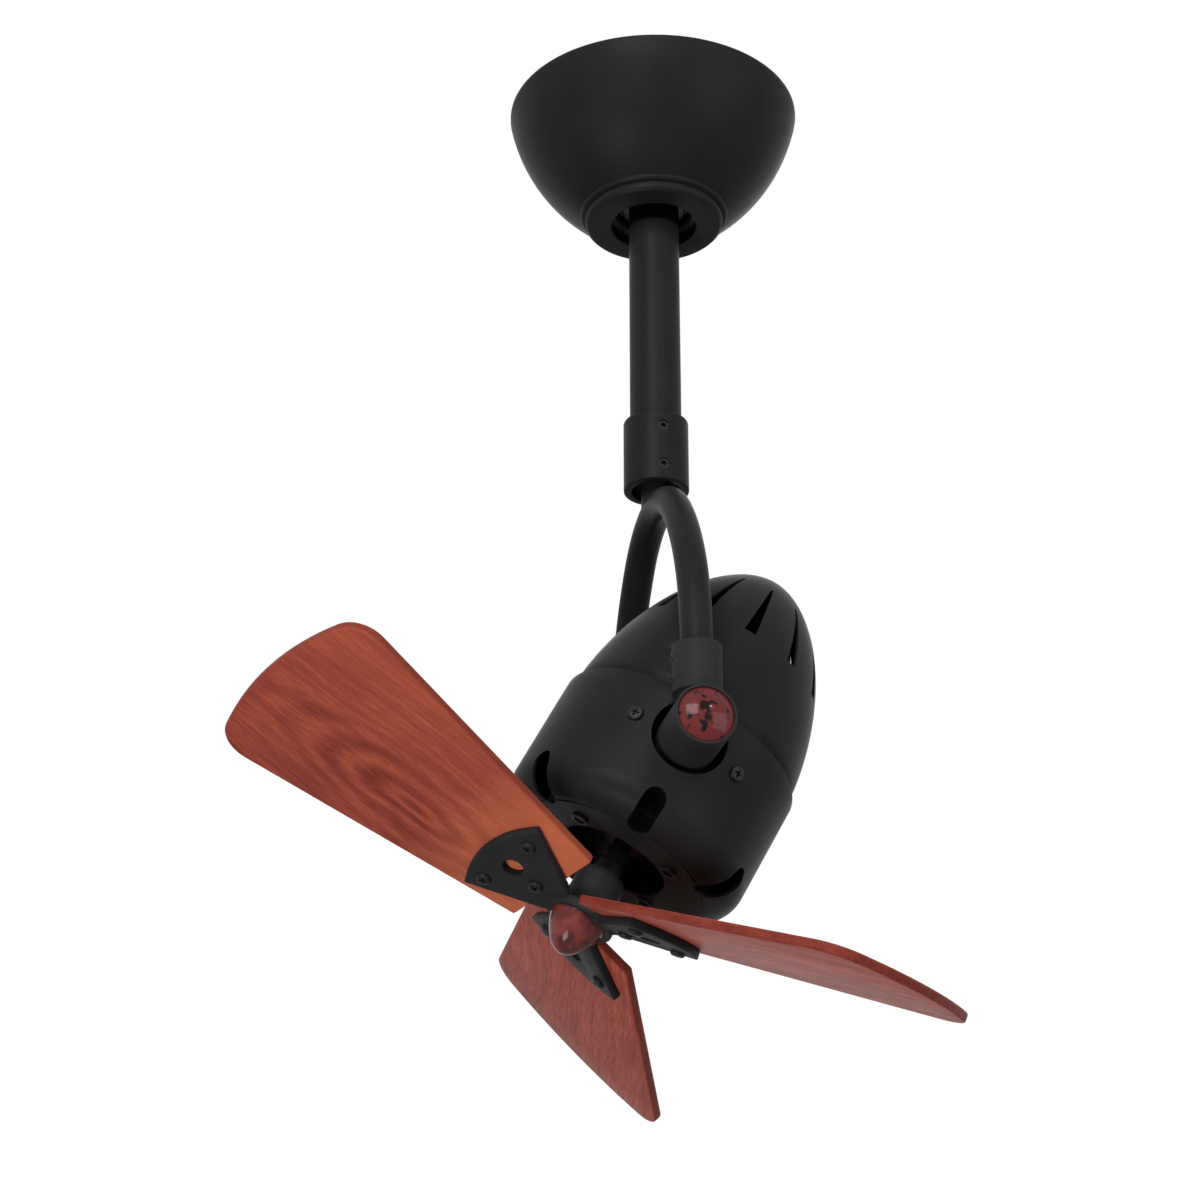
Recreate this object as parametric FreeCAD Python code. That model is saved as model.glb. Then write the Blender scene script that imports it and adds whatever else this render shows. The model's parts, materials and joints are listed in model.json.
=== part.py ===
import FreeCAD, Part
import math
import os

os.makedirs("parts", exist_ok=True)

V = FreeCAD.Vector

# Fits and clearances, millimetres
SLIP = 0.02
RUN = 0.04
GAP = 0.4

# Hexagon socket of a screw: its corner radius and its floor, as shares of the head
SOCKET_SHARE = 0.55
SOCKET_FLOOR = 0.45

# Canopy and trim ring
CANOPY_R = 83.0
CANOPY_RIM_H = 1.8
CANOPY_MID_R = 68.9
CANOPY_MID_Z = -36.0
CANOPY_LIP_R = 42.0
CANOPY_LIP_Z = -64.4
CANOPY_WALL = 1.4
CANOPY_LIP_H = 2.6
CANOPY_BEAD = 1.3
CANOPY_EDGE = 0.4
RING_R = 39.3
RING_H = 5.6
RING_CHAMFER = 1.7
RING_HOLE_R = 24.4
RING_NECK_WALL = 3.4
RING_NECK_H = 9.0
RING_LEDGE = 1.6

# Hanger plate
PLATE_R = 58.0
PLATE_T = 3.0
PLATE_WIRE_R = 11.0
SLOT_SPACING = 88.9
SLOT_R = 2.75
SLOT_LEN = 14.0

# Downrod and the two ball bearings that carry it
ROD_R = 14.25
ROD_WALL = 2.2
ROD_LEN = 201.9
RACE_T = 3.0
BALL_R = 1.9
BEARING_W = 7.0
BEARING_SPAN = 25.0
BALL_COUNT = 12
RACE_LIP = 0.6
CAGE_T = 1.8

# Bearing housing
HOUSING_WALL = 4.0
HOUSING_LIP = 1.6
HOUSING_MOUTH_STEP = 1.0
HOUSING_REACH = 0.2
HOUSING_RIB = 1.4
FLANGE_T = 4.0
POST_R = 4.5
POST_RING_R = 42.0
POST_COUNT = 3
POST_SCREW_R = 2.0
POST_EDGE = 1.2
POST_SCREW_LEN = 14.0
POST_HEAD_H = 2.0

# Swing gear pair and its gear motor
GEAR_MODULE = 1.5
GEAR_TEETH = 40
PINION_TEETH = 12
GEAR_T = 7.0
GEAR_SPACER = 0.9
PINION_T = 9.0
TOOTH_PLAY = 0.30
TOOTH_RISE = 0.9
TOOTH_DROP = 1.2
FLANK_DEG = 20.0
PINION_LIFT = 0.4
MOTOR_R = 25.0
MOTOR_H = 15.0
MOTOR_EDGE = 1.2
MOTOR_SHAFT_R = 3.0
MOTOR_SHAFT_DEEP = 8.0
MOTOR_EAR_R = 5.0
MOTOR_EAR_T = 2.0
MOTOR_EAR_OUT = 4.0
MOTOR_SCREW_R = 1.8
MOTOR_HEAD_R = 3.2
MOTOR_HEAD_H = 2.0
MOTOR_SCREW_LEN = 4.5

# Coupling under the rod
COUPLING_R = 17.9
COUPLING_GRIP = 24.2
COUPLING_H = 41.6
COUPLING_WEB = 4.4
COUPLING_EDGE = 0.8
COUPLING_RECESS_R = 13.6
COUPLING_RECESS_H = 5.0
COUPLING_SCREW_R = 3.2
COUPLING_SCREW_EDGE = 9.2
COUPLING_SCREW_SUNK = 0.6
COUPLING_KEY_R = 1.7
COUPLING_KEY_H = 1.9

# Bent fork tube
FORK_R = 8.4
FORK_WALL = 2.0
FORK_DROP = 12.0
FORK_CROWN_R = 58.0
FORK_CROWN_DEG = 43.8
FORK_CLEAR = 0.85
FORK_ARM_STRAIGHT = 2.6

# Sleeve, neck and boss casting at the foot of each arm
SLEEVE_R = 12.8
SLEEVE_H = 26.0
SLEEVE_FLOOR = 3.0
SLEEVE_CHAMFER = 0.8
SLEEVE_SCREW_R = 2.4
SLEEVE_SCREW_EDGE = 7.2
SLEEVE_SCREW_PROUD = 0.4
SCREW_TIP = 0.06
NECK_R = 9.6
NECK_H = 0.7
BOSS_R = 15.8
BOSS_REACH = 17.25
BOSS_RIM = 1.5
CAP_DEPTH = 4.0
CAP_RISE = 5.0
CAP_SUNK = 1.2
TILT_WELL_PLAY = 1.2

# Head, measured along its own axis from the tilt axis
TILT_DEG = 61.25
DRUM_R = 66.6
DRUM_WALL = 1.6
DRUM_CORNER_R = 16.4
FACE_S = 51.7
FACE_HOLE_R = 29.3
SEAM_S = -21.3
SEAM_CHAMFER = 2.0
SEAM_INSET = 1.2
BOSS_HOLE_PLAY = 4.0
VENT_COUNT = 6
VENT_W = 12.0
VENT_LEN = 27.0
SIDE_SCREW_DEG = 26.0
SIDE_SCREW_S = 2.0
SIDE_SCREW_R = 2.0
SIDE_HEAD_R = 4.2
SIDE_HEAD_H = 1.8
SIDE_SCREW_LEN = 7.2
FACE_SCREW_RING_R = 36.5
FACE_SCREW_R = 2.0
FACE_HEAD_R = 4.4
FACE_HEAD_H = 2.2
FACE_SCREW_LEN = 11.0
FACE_SCREW_COUNT = 4
FACE_POST_R = 5.0

# Egg-shaped rear dome
DOME_FIT = 1.1
DOME_LEN = 111.8
DOME_WALL = 1.6
DOME_SKIRT = 28.0
DOME_SLOTS = 12
DOME_SLOT_S = (-74.3, -114.0)
DOME_SLOT_W = (6.6, 1.2)

# Fan motor inside the head
FRAME_R = 45.0
FRAME_WALL = 2.5
FRAME_REAR_S = -42.0
FRAME_FRONT_S = 34.0
BELL_T = 4.0
PAD_R = 13.0
PAD_X = 48.5
WASHER_T = 2.0
STATOR_R = 22.0
STATOR_LEN = 36.0
STATOR_SLOTS = 12
STATOR_BACK = 4.0
STATOR_SLOT_W = 5.0
STATOR_SLOT_H = 12.0
STATOR_TOOTH_T = 3.0
STATOR_MOUTH_W = 1.6
AIR_GAP = 0.6
WINDING_H = 10.0
WINDING_INSET = 4.0
WINDING_ROUND = 3.0
SHAFT_R = 5.0
SHAFT_TAIL = 6.0
SHAFT_BUSH_R = 11.0
BUSH_IN = 3.0
BUSH_OUT = 2.0
TILT_BOLT_R = 5.0
TILT_BOLT_SUNK = 0.5
TILT_HEAD_R = 8.0
TILT_HEAD_H = 5.0

# Hub, blade spider and nose
HUB_R = 13.0
HUB_STANDOFF = 10.3
HUB_CONE_H = 2.5
HUB_CONE_STEP = 4.5
SPIDER_LIFT = 2.6
SPIDER_T = 4.6
SPIDER_R = 18.8
ARM_ROOT_U = 9.0
ARM_ROOT_W = 8.2
ARM_INSET = 0.05
COLLAR_R = 7.5
COLLAR_H = 9.0
NOSE_R = 15.0
NOSE_H = 19.0

# Blades
BLADE_COUNT = 3
BLADE_FIRST_DEG = 72.62
BLADE_PITCH_DEG = 18.74
BLADE_S = 82.4
BLADE_T = 5.0
BLADE_ROOT_U = 20.75
BLADE_ROOT_W = 33.75
BLADE_FLARE = 0.199
BLADE_TIP_R = 203.0
BLADE_CORNER_R = 17.0
BLADE_EDGE = 1.2
PADDLE_T = 4.6
PADDLE_R = 62.2
PADDLE_HALF_DEG = 31.0
PADDLE_ROOT_U = 16.0
PADDLE_ROOT_W = 10.5
PADDLE_EDGE = 0.9
PADDLE_HOLE_U = 44.5
PADDLE_HOLE_R = 5.8
PADDLE_SCREWS = ((49.2, 19.6), (49.2, -19.6), (29.6, 0.0))
PADDLE_SCREW_R = 2.0
PADDLE_HEAD_R = 3.9
PADDLE_HEAD_H = 2.2
PADDLE_HEAD_BALL_R = 4.9

# Sizes that follow from the ones above
INNER_RACE_R = ROD_R + SLIP + RACE_T
BALL_RING_R = INNER_RACE_R + BALL_R
OUTER_RACE_IN = BALL_RING_R + BALL_R + GAP
OUTER_RACE_R = OUTER_RACE_IN + RACE_T
HOUSING_IN = OUTER_RACE_R + SLIP
HOUSING_R = HOUSING_IN + HOUSING_WALL
HOUSING_BOTTOM_Z = CANOPY_LIP_Z - HOUSING_REACH
BEARING_TOP_Z = HOUSING_BOTTOM_Z + HOUSING_LIP + BEARING_W + BEARING_SPAN
GEAR_PITCH_R = GEAR_MODULE * GEAR_TEETH / 2
PINION_PITCH_R = GEAR_MODULE * PINION_TEETH / 2
GEAR_CENTRES = GEAR_PITCH_R + PINION_PITCH_R
RING_TOP_Z = CANOPY_LIP_Z - CANOPY_LIP_H
ROD_TOP_Z = BEARING_TOP_Z + GEAR_SPACER + GEAR_T
ROD_BOTTOM_Z = ROD_TOP_Z - ROD_LEN
COUPLING_TOP_Z = ROD_BOTTOM_Z + COUPLING_GRIP
COUPLING_BOTTOM_Z = COUPLING_TOP_Z - COUPLING_H
STUB_TOP_Z = ROD_BOTTOM_Z - COUPLING_WEB
FORK_APEX_Z = COUPLING_BOTTOM_Z - FORK_DROP
FORK_CROWN = math.radians(FORK_CROWN_DEG)
ARM_X = DRUM_R + FORK_CLEAR + SLEEVE_R
CROWN_END_X = FORK_CROWN_R * math.sin(FORK_CROWN)
CROWN_END_Z = FORK_APEX_Z - FORK_CROWN_R * (1 - math.cos(FORK_CROWN))
FORK_ARM_R = (ARM_X - CROWN_END_X) / (1 - math.sin(FORK_CROWN))
ARM_BEND_END_Z = CROWN_END_Z - FORK_ARM_R * math.cos(FORK_CROWN)
SLEEVE_TOP_Z = ARM_BEND_END_Z - FORK_ARM_STRAIGHT
SLEEVE_BOTTOM_Z = SLEEVE_TOP_Z - SLEEVE_H
TILT_Z = SLEEVE_BOTTOM_Z - NECK_H - BOSS_R
BOSS_END_X = ARM_X + BOSS_REACH
DOME_R = DRUM_R - DRUM_WALL - DOME_FIT
BOSS_INNER_X = PAD_X + WASHER_T + GAP
HUB_REAR_S = FACE_S + HUB_STANDOFF
SPIDER_S = BLADE_S + SPIDER_LIFT
HEAD_PLACE = FreeCAD.Placement(V(0, 0, TILT_Z), FreeCAD.Rotation(V(1, 0, 0), 90 + TILT_DEG))


def save(shape, name):
    """Write one node, with its solids only, to its own file."""
    solids = shape.Solids
    out = solids[0] if len(solids) == 1 else Part.makeCompound(solids)
    out.exportStep("parts/" + name + ".step")


def save_head(shape, name):
    """Write a node that was modelled along the head's axis."""
    placed = shape.copy()
    placed.Placement = HEAD_PLACE.multiply(placed.Placement)
    save(placed, name)


def revolve(edges):
    """Revolve a closed outline, drawn in the XZ plane, about Z."""
    face = Part.Face(Part.Wire(edges))
    return face.revolve(V(0, 0, 0), V(0, 0, 1), 360)


def loop(points):
    """Straight edges through (r, z) points, closed."""
    pts = [V(r, 0, z) for r, z in points]
    pts.append(pts[0])
    return [Part.makeLine(a, b) for a, b in zip(pts, pts[1:])]


def ring(r_in, r_out, z_low, height):
    """A plain tube round Z."""
    outer = Part.makeCylinder(r_out, height, V(0, 0, z_low))
    return outer.cut(Part.makeCylinder(r_in, height, V(0, 0, z_low)))


def spin(shape, deg):
    """A copy turned about Z."""
    out = shape.copy()
    out.rotate(V(0, 0, 0), V(0, 0, 1), deg)
    return out


def line(r1, z1, r2, z2):
    return Part.makeLine(V(r1, 0, z1), V(r2, 0, z2))


def arc3(p, q, r):
    return Part.Arc(V(p[0], 0, p[1]), V(q[0], 0, q[1]), V(r[0], 0, r[1])).toShape()


def hexagon(corner_r, height):
    """A hexagonal bar that stands on the origin."""
    turns = [math.radians(60 * k) for k in range(7)]
    corners = [V(math.cos(q), math.sin(q), 0) * corner_r for q in turns]
    return Part.Face(Part.makePolygon(corners)).extrude(V(0, 0, height))


def socket_screw(r_head, h_head, r_shank, l_shank, direction, base):
    """A screw with a hexagon socket: head along direction from base, shank the other way."""
    d = V(*direction)
    head = Part.makeCylinder(r_head, h_head, base, d)
    shank = Part.makeCylinder(r_shank, l_shank, base, d.negative())
    key = hexagon(SOCKET_SHARE * r_head, h_head)
    key.Placement = FreeCAD.Placement(base + d * (SOCKET_FLOOR * h_head), FreeCAD.Rotation(V(0, 0, 1), d))
    return head.fuse(shank).cut(key)


# Canopy: one spun bowl with a rim at the ceiling and a rolled lip at the foot
def canopy():
    w, e = CANOPY_WALL, CANOPY_EDGE
    top = (CANOPY_R, -CANOPY_RIM_H)
    mid = (CANOPY_MID_R, CANOPY_MID_Z)
    low = (CANOPY_LIP_R, CANOPY_LIP_Z)
    circle = Part.Circle(V(*top, 0), V(*mid, 0), V(*low, 0))
    inner = (circle.Radius - w) / circle.Radius

    def inside(point):
        return tuple(circle.Center + (V(*point, 0) - circle.Center) * inner)[:2]

    hole = HOUSING_R + RING_NECK_WALL + GAP
    lip = CANOPY_LIP_Z - CANOPY_LIP_H
    bead_r = CANOPY_LIP_R - CANOPY_BEAD
    bead_mid = (CANOPY_LIP_R - 0.3 * CANOPY_BEAD, lip + 0.4 * CANOPY_BEAD)
    rim, foot = inside(top), inside(low)
    edges = [line(rim[0], 0, CANOPY_R - e, 0)]
    edges.append(line(CANOPY_R - e, 0, CANOPY_R, -e))
    edges.append(line(CANOPY_R, -e, *top))
    edges.append(arc3(top, mid, low))
    edges.append(arc3(low, bead_mid, (bead_r, lip)))
    edges.append(line(bead_r, lip, hole, lip))
    edges.append(line(hole, lip, hole, lip + w))
    edges.append(line(hole, lip + w, foot[0] - w, lip + w))
    edges.append(line(foot[0] - w, lip + w, *foot))
    edges.append(arc3(foot, inside(mid), rim))
    edges.append(line(*rim, rim[0], 0))
    save(revolve(edges), "canopy")


# Trim ring: screws up onto the bearing housing and clamps the canopy's lip
def trim_ring():
    top = RING_TOP_Z
    low = top - RING_H
    neck_in = HOUSING_R + SLIP
    neck_out = HOUSING_R + RING_NECK_WALL
    step = HOUSING_BOTTOM_Z - GAP
    pts = [(neck_in, top + RING_NECK_H), (neck_out, top + RING_NECK_H), (neck_out, top), (RING_R, top)]
    pts += [(RING_R, low + RING_CHAMFER), (RING_R - RING_CHAMFER, low), (RING_HOLE_R, low)]
    pts += [(RING_HOLE_R, low + RING_LEDGE), (neck_in, step)]
    save(revolve(loop(pts)), "trim_ring")


# Hanger plate: pressed steel disc screwed to the ceiling box
def hanger_plate():
    plate = Part.makeCylinder(PLATE_R, PLATE_T, V(0, 0, -PLATE_T))
    plate = plate.cut(Part.makeCylinder(PLATE_WIRE_R, PLATE_T, V(0, 0, -PLATE_T)))
    half = SLOT_LEN / 2 - SLOT_R
    for side in (-1, 1):
        y = side * SLOT_SPACING / 2
        slot = Part.makeBox(2 * SLOT_R, 2 * half, PLATE_T, V(-SLOT_R, y - half, -PLATE_T))
        for end in (-half, half):
            slot = slot.fuse(Part.makeCylinder(SLOT_R, PLATE_T, V(0, y + end, -PLATE_T)))
        plate = plate.cut(slot)
    return plate


# Bearing housing: a cast tube with a flange and posts that hang it from the plate
def bearing_housing():
    top, foot = BEARING_TOP_Z, HOUSING_BOTTOM_Z
    flange_r = POST_RING_R + POST_R + POST_EDGE
    rib_r = OUTER_RACE_R - HOUSING_RIB
    rib_top = top - BEARING_W - SLIP
    rib_low = top - BEARING_SPAN + SLIP
    mouth_r = OUTER_RACE_IN + HOUSING_MOUTH_STEP
    pts = [(HOUSING_IN, top), (flange_r, top), (flange_r, top - FLANGE_T), (HOUSING_R, top - FLANGE_T)]
    pts += [(HOUSING_R, foot), (mouth_r, foot), (mouth_r, foot + HOUSING_LIP - SLIP)]
    pts += [(HOUSING_IN, foot + HOUSING_LIP - SLIP), (HOUSING_IN, rib_low), (rib_r, rib_low)]
    pts += [(rib_r, rib_top), (HOUSING_IN, rib_top)]
    body = revolve(loop(pts))
    for k in range(POST_COUNT):
        at = V(POST_RING_R, 0, top - FLANGE_T / 2)
        post = Part.makeCylinder(POST_R, -PLATE_T - at.z, at)
        deep = V(POST_RING_R, 0, -PLATE_T - POST_SCREW_LEN)
        hole = Part.makeCylinder(POST_SCREW_R + SLIP, POST_SCREW_LEN, deep)
        body = body.fuse(spin(post.cut(hole), 360 / POST_COUNT * k))
    save(body, "bearing_housing")


def plate_and_screws():
    plate = hanger_plate()
    screws = []
    for k in range(POST_COUNT):
        base = V(POST_RING_R, 0, 0)
        sunk = base + V(0, 0, -POST_HEAD_H)
        cone = Part.makeCone(POST_SCREW_R + SLIP, 2 * POST_SCREW_R + SLIP, POST_HEAD_H, sunk)
        bore = Part.makeCylinder(POST_SCREW_R + SLIP, PLATE_T, base + V(0, 0, -PLATE_T))
        plate = plate.cut(spin(cone.fuse(bore), 360 / POST_COUNT * k))
        head = Part.makeCone(POST_SCREW_R, 2 * POST_SCREW_R - SLIP, POST_HEAD_H - SLIP, sunk)
        shank = Part.makeCylinder(POST_SCREW_R, POST_SCREW_LEN, sunk, V(0, 0, -1))
        screws.append(spin(head.fuse(shank), 360 / POST_COUNT * k))
    save(Part.makeCompound(screws), "housing_screws")
    for side in (-1, 1):
        at = V(-GEAR_CENTRES, side * (MOTOR_R + MOTOR_EAR_OUT), -PLATE_T)
        plate = plate.cut(Part.makeCylinder(MOTOR_SCREW_R + SLIP, PLATE_T, at))
    save(plate, "hanger_plate")


# Ball bearings: outer race in the housing, inner race with its balls on the rod
def bearings():
    for name, top in (("upper", BEARING_TOP_Z), ("lower", BEARING_TOP_Z - BEARING_SPAN)):
        mid = top - BEARING_W / 2
        groove = Part.makeTorus(BALL_RING_R, BALL_R + GAP, V(0, 0, mid))
        outer = ring(OUTER_RACE_IN - RACE_LIP, OUTER_RACE_R, top - BEARING_W, BEARING_W).cut(groove)
        save(outer, name + "_outer_race")
        inner = ring(ROD_R + SLIP, INNER_RACE_R, top - BEARING_W, BEARING_W)
        cage = ring(INNER_RACE_R - GAP / 2, BALL_RING_R, mid - CAGE_T / 2, CAGE_T)
        inner = inner.fuse(cage)
        for k in range(BALL_COUNT):
            ball = Part.makeSphere(BALL_R, V(BALL_RING_R, 0, mid))
            inner = inner.fuse(spin(ball, 360 / BALL_COUNT * k))
        save(inner.removeSplitter(), name + "_inner_race")


# Spur gear blank cut into teeth with straight tapered flanks
def spur_gear(teeth, thickness, z_low, thin):
    pitch_r = GEAR_MODULE * teeth / 2
    rise, drop = TOOTH_RISE * GEAR_MODULE, TOOTH_DROP * GEAR_MODULE
    tip_r, root_r = pitch_r + rise, pitch_r - drop
    step = 2 * math.pi / teeth
    slope = math.tan(math.radians(FLANK_DEG)) / pitch_r
    at_pitch = step / 4 - thin / 2 / pitch_r
    at_root = at_pitch + slope * drop
    at_tip = at_pitch - slope * rise
    pts = []
    for k in range(teeth):
        for r, a in ((root_r, -at_root), (tip_r, -at_tip), (tip_r, at_tip), (root_r, at_root)):
            t = k * step + a
            pts.append(V(r * math.cos(t), r * math.sin(t), z_low))
    pts.append(pts[0])
    return Part.Face(Part.makePolygon(pts)).extrude(V(0, 0, thickness))


# Swing drive: gear on the rod, pinion on the gear motor's shaft
def swing_drive():
    gear = spur_gear(GEAR_TEETH, GEAR_T, BEARING_TOP_Z + GEAR_SPACER, TOOTH_PLAY)
    gear = gear.cut(Part.makeCylinder(ROD_R + SLIP, GEAR_T, V(0, 0, BEARING_TOP_Z + GEAR_SPACER)))
    spacer = ring(ROD_R + SLIP, INNER_RACE_R - GAP, BEARING_TOP_Z, GEAR_SPACER)
    save(gear.fuse(spacer), "swing_gear")
    motor_low = -PLATE_T - MOTOR_H
    pinion_low = BEARING_TOP_Z + PINION_LIFT
    pinion = spur_gear(PINION_TEETH, PINION_T, pinion_low, TOOTH_PLAY)
    pinion = spin(pinion, 180 / PINION_TEETH)
    shaft_h = motor_low + MOTOR_SHAFT_DEEP - pinion_low
    pinion = pinion.fuse(Part.makeCylinder(MOTOR_SHAFT_R, shaft_h, V(0, 0, pinion_low)))
    pinion.translate(V(-GEAR_CENTRES, 0, 0))
    save(pinion, "swing_pinion")
    centre = V(-GEAR_CENTRES, 0, motor_low)
    motor = Part.makeCylinder(MOTOR_R, MOTOR_H, centre)
    motor = motor.makeFillet(MOTOR_EDGE, [motor.Edges[2]])
    screws = []
    for side in (-1, 1):
        at = V(-GEAR_CENTRES, side * (MOTOR_R + MOTOR_EAR_OUT), -PLATE_T - MOTOR_EAR_T)
        motor = motor.fuse(Part.makeCylinder(MOTOR_EAR_R, MOTOR_EAR_T, at))
        motor = motor.cut(Part.makeCylinder(MOTOR_SCREW_R + SLIP, MOTOR_EAR_T, at))
        head = (MOTOR_HEAD_R, MOTOR_HEAD_H, MOTOR_SCREW_R, MOTOR_SCREW_LEN)
        screws.append(socket_screw(*head, (0, 0, -1), at))
    save(Part.makeCompound(screws), "motor_screws")
    bore = Part.makeCylinder(MOTOR_SHAFT_R + RUN, MOTOR_SHAFT_DEEP + GAP, centre)
    save(motor.cut(bore), "swing_motor")


# Downrod tube and the coupling clamped to its foot
def downrod():
    rod = ring(ROD_R - ROD_WALL, ROD_R, ROD_BOTTOM_Z, ROD_LEN)
    save(rod, "downrod")
    t, b, e = COUPLING_TOP_Z, COUPLING_BOTTOM_Z, COUPLING_EDGE
    seat = ROD_BOTTOM_Z - SLIP
    stub_top = STUB_TOP_Z + SLIP
    ledge = b + COUPLING_RECESS_H
    rod_in, rod_out, stub_out = ROD_R - ROD_WALL, ROD_R + SLIP, FORK_R + SLIP
    pts = [(rod_out, t), (COUPLING_R - e, t), (COUPLING_R, t - e), (COUPLING_R, b + e), (COUPLING_R - e, b)]
    pts += [(COUPLING_RECESS_R, b), (COUPLING_RECESS_R, ledge), (stub_out, ledge), (stub_out, stub_top)]
    pts += [(rod_in, stub_top), (rod_in, seat), (rod_out, seat)]
    body = revolve(loop(pts))
    screws = ((t - COUPLING_SCREW_EDGE, rod_out), (b + COUPLING_SCREW_EDGE, stub_out))
    for k, (z, inner) in enumerate(screws):
        hole = Part.makeCylinder(COUPLING_SCREW_R + SLIP, 2 * COUPLING_R, V(0, 0, z), V(1, 0, 0))
        body = body.cut(hole)
        foot = inner + SCREW_TIP
        length = COUPLING_R - COUPLING_SCREW_SUNK - foot
        screw = Part.makeCylinder(COUPLING_SCREW_R, length, V(foot, 0, z), V(1, 0, 0))
        key = hexagon(COUPLING_KEY_R, 2 * COUPLING_KEY_H)
        floor = V(foot + length - COUPLING_KEY_H, 0, z)
        key.Placement = FreeCAD.Placement(floor, FreeCAD.Rotation(V(0, 1, 0), 90))
        save(screw.cut(key), "coupling_screw_%d" % (k + 1))
    save(body, "coupling")


# Fork: one tube bent into a wishbone arch, with a stub at the crown
def fork_path(low_z):
    c = FORK_CROWN
    x1, z1 = CROWN_END_X, CROWN_END_Z
    m = (c + math.pi / 2) / 2
    xm = x1 + FORK_ARM_R * (math.sin(m) - math.sin(c))
    zm = z1 - FORK_ARM_R * (math.cos(c) - math.cos(m))
    z2 = ARM_BEND_END_Z
    edges = [line(-ARM_X, low_z, -ARM_X, z2)]
    edges.append(arc3((-ARM_X, z2), (-xm, zm), (-x1, z1)))
    edges.append(arc3((-x1, z1), (0, FORK_APEX_Z), (x1, z1)))
    edges.append(arc3((x1, z1), (xm, zm), (ARM_X, z2)))
    edges.append(line(ARM_X, z2, ARM_X, low_z))
    return Part.Wire(edges)


def fork():
    foot = SLEEVE_BOTTOM_Z + SLEEVE_FLOOR + SLIP
    path = fork_path(foot)
    start = V(-ARM_X, 0, foot)
    rim = Part.Wire(Part.makeCircle(FORK_R, start, V(0, 0, 1)))
    outer = path.makePipeShell([rim], True, False)
    bore = Part.Wire(Part.makeCircle(FORK_R - FORK_WALL, start, V(0, 0, 1)))
    inner = path.makePipeShell([bore], True, False)
    stub_h = STUB_TOP_Z - FORK_APEX_Z
    stub = Part.makeCylinder(FORK_R, stub_h, V(0, 0, FORK_APEX_Z))
    wire_way = Part.makeCylinder(FORK_R - 2 * FORK_WALL, stub_h, V(0, 0, FORK_APEX_Z))
    save(outer.fuse(stub).cut(inner).cut(wire_way), "fork")


# Foot casting: socket for the arm, short neck, and the boss that carries the head
def foot_casting(side, name):
    socket = Part.makeCylinder(SLEEVE_R, SLEEVE_H, V(ARM_X, 0, SLEEVE_BOTTOM_Z))
    mouth = [e for e in socket.Edges if e.BoundBox.ZMin > SLEEVE_TOP_Z - SLIP]
    socket = socket.makeChamfer(SLEEVE_CHAMFER, mouth)
    neck = Part.makeCylinder(NECK_R, SLEEVE_BOTTOM_Z - TILT_Z, V(ARM_X, 0, TILT_Z))
    boss = Part.makeCylinder(BOSS_R, BOSS_END_X - BOSS_INNER_X, V(BOSS_INNER_X, 0, TILT_Z), V(1, 0, 0))
    body = socket.fuse(neck).fuse(boss)
    bore_z = SLEEVE_BOTTOM_Z + SLEEVE_FLOOR
    body = body.cut(Part.makeCylinder(FORK_R + SLIP, SLEEVE_H, V(ARM_X, 0, bore_z)))
    floor_x = BOSS_END_X - CAP_DEPTH
    body = body.cut(Part.makeCylinder(BOSS_R - BOSS_RIM, CAP_DEPTH, V(floor_x, 0, TILT_Z), V(1, 0, 0)))
    well = TILT_HEAD_H + TILT_WELL_PLAY
    body = body.cut(Part.makeCylinder(TILT_HEAD_R + GAP, well, V(floor_x - well, 0, TILT_Z), V(1, 0, 0)))
    bore = Part.makeCylinder(TILT_BOLT_R + RUN, BOSS_END_X, V(0, 0, TILT_Z), V(1, 0, 0))
    body = body.cut(bore)
    screws = []
    for z in (SLEEVE_TOP_Z - SLEEVE_SCREW_EDGE, SLEEVE_BOTTOM_Z + SLEEVE_SCREW_EDGE):
        body = body.cut(Part.makeCylinder(SLEEVE_SCREW_R + SLIP, 2 * SLEEVE_R, V(ARM_X, 0, z), V(0, -1, 0)))
        tip = FORK_R + SCREW_TIP
        length = SLEEVE_R + SLEEVE_SCREW_PROUD - tip
        screws.append(Part.makeCylinder(SLEEVE_SCREW_R, length, V(ARM_X, -tip, z), V(0, -1, 0)))
    cap_r = BOSS_R - BOSS_RIM - SLIP
    ball_r = (cap_r ** 2 + CAP_RISE ** 2) / 2 / CAP_RISE
    cap = Part.makeCylinder(cap_r, CAP_DEPTH + CAP_RISE, V(floor_x, 0, TILT_Z), V(1, 0, 0))
    centre_x = BOSS_END_X - CAP_SUNK + CAP_RISE - ball_r
    cap = cap.common(Part.makeSphere(ball_r, V(centre_x, 0, TILT_Z)))
    for shape, label in ((body, "foot_" + name), (cap, "boss_cap_" + name),
                         (screws[0], "foot_screw_upper_" + name), (screws[1], "foot_screw_lower_" + name)):
        out = shape
        if side < 0:
            out = shape.mirror(V(0, 0, 0), V(1, 0, 0))
        save(out, label)


# Front bowl of the head: spun drum with a rolled corner, a flat face and its openings
def cross_cylinder(radius, half):
    return Part.makeCylinder(radius, 2 * half, V(-half, 0, 0), V(1, 0, 0))


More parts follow.
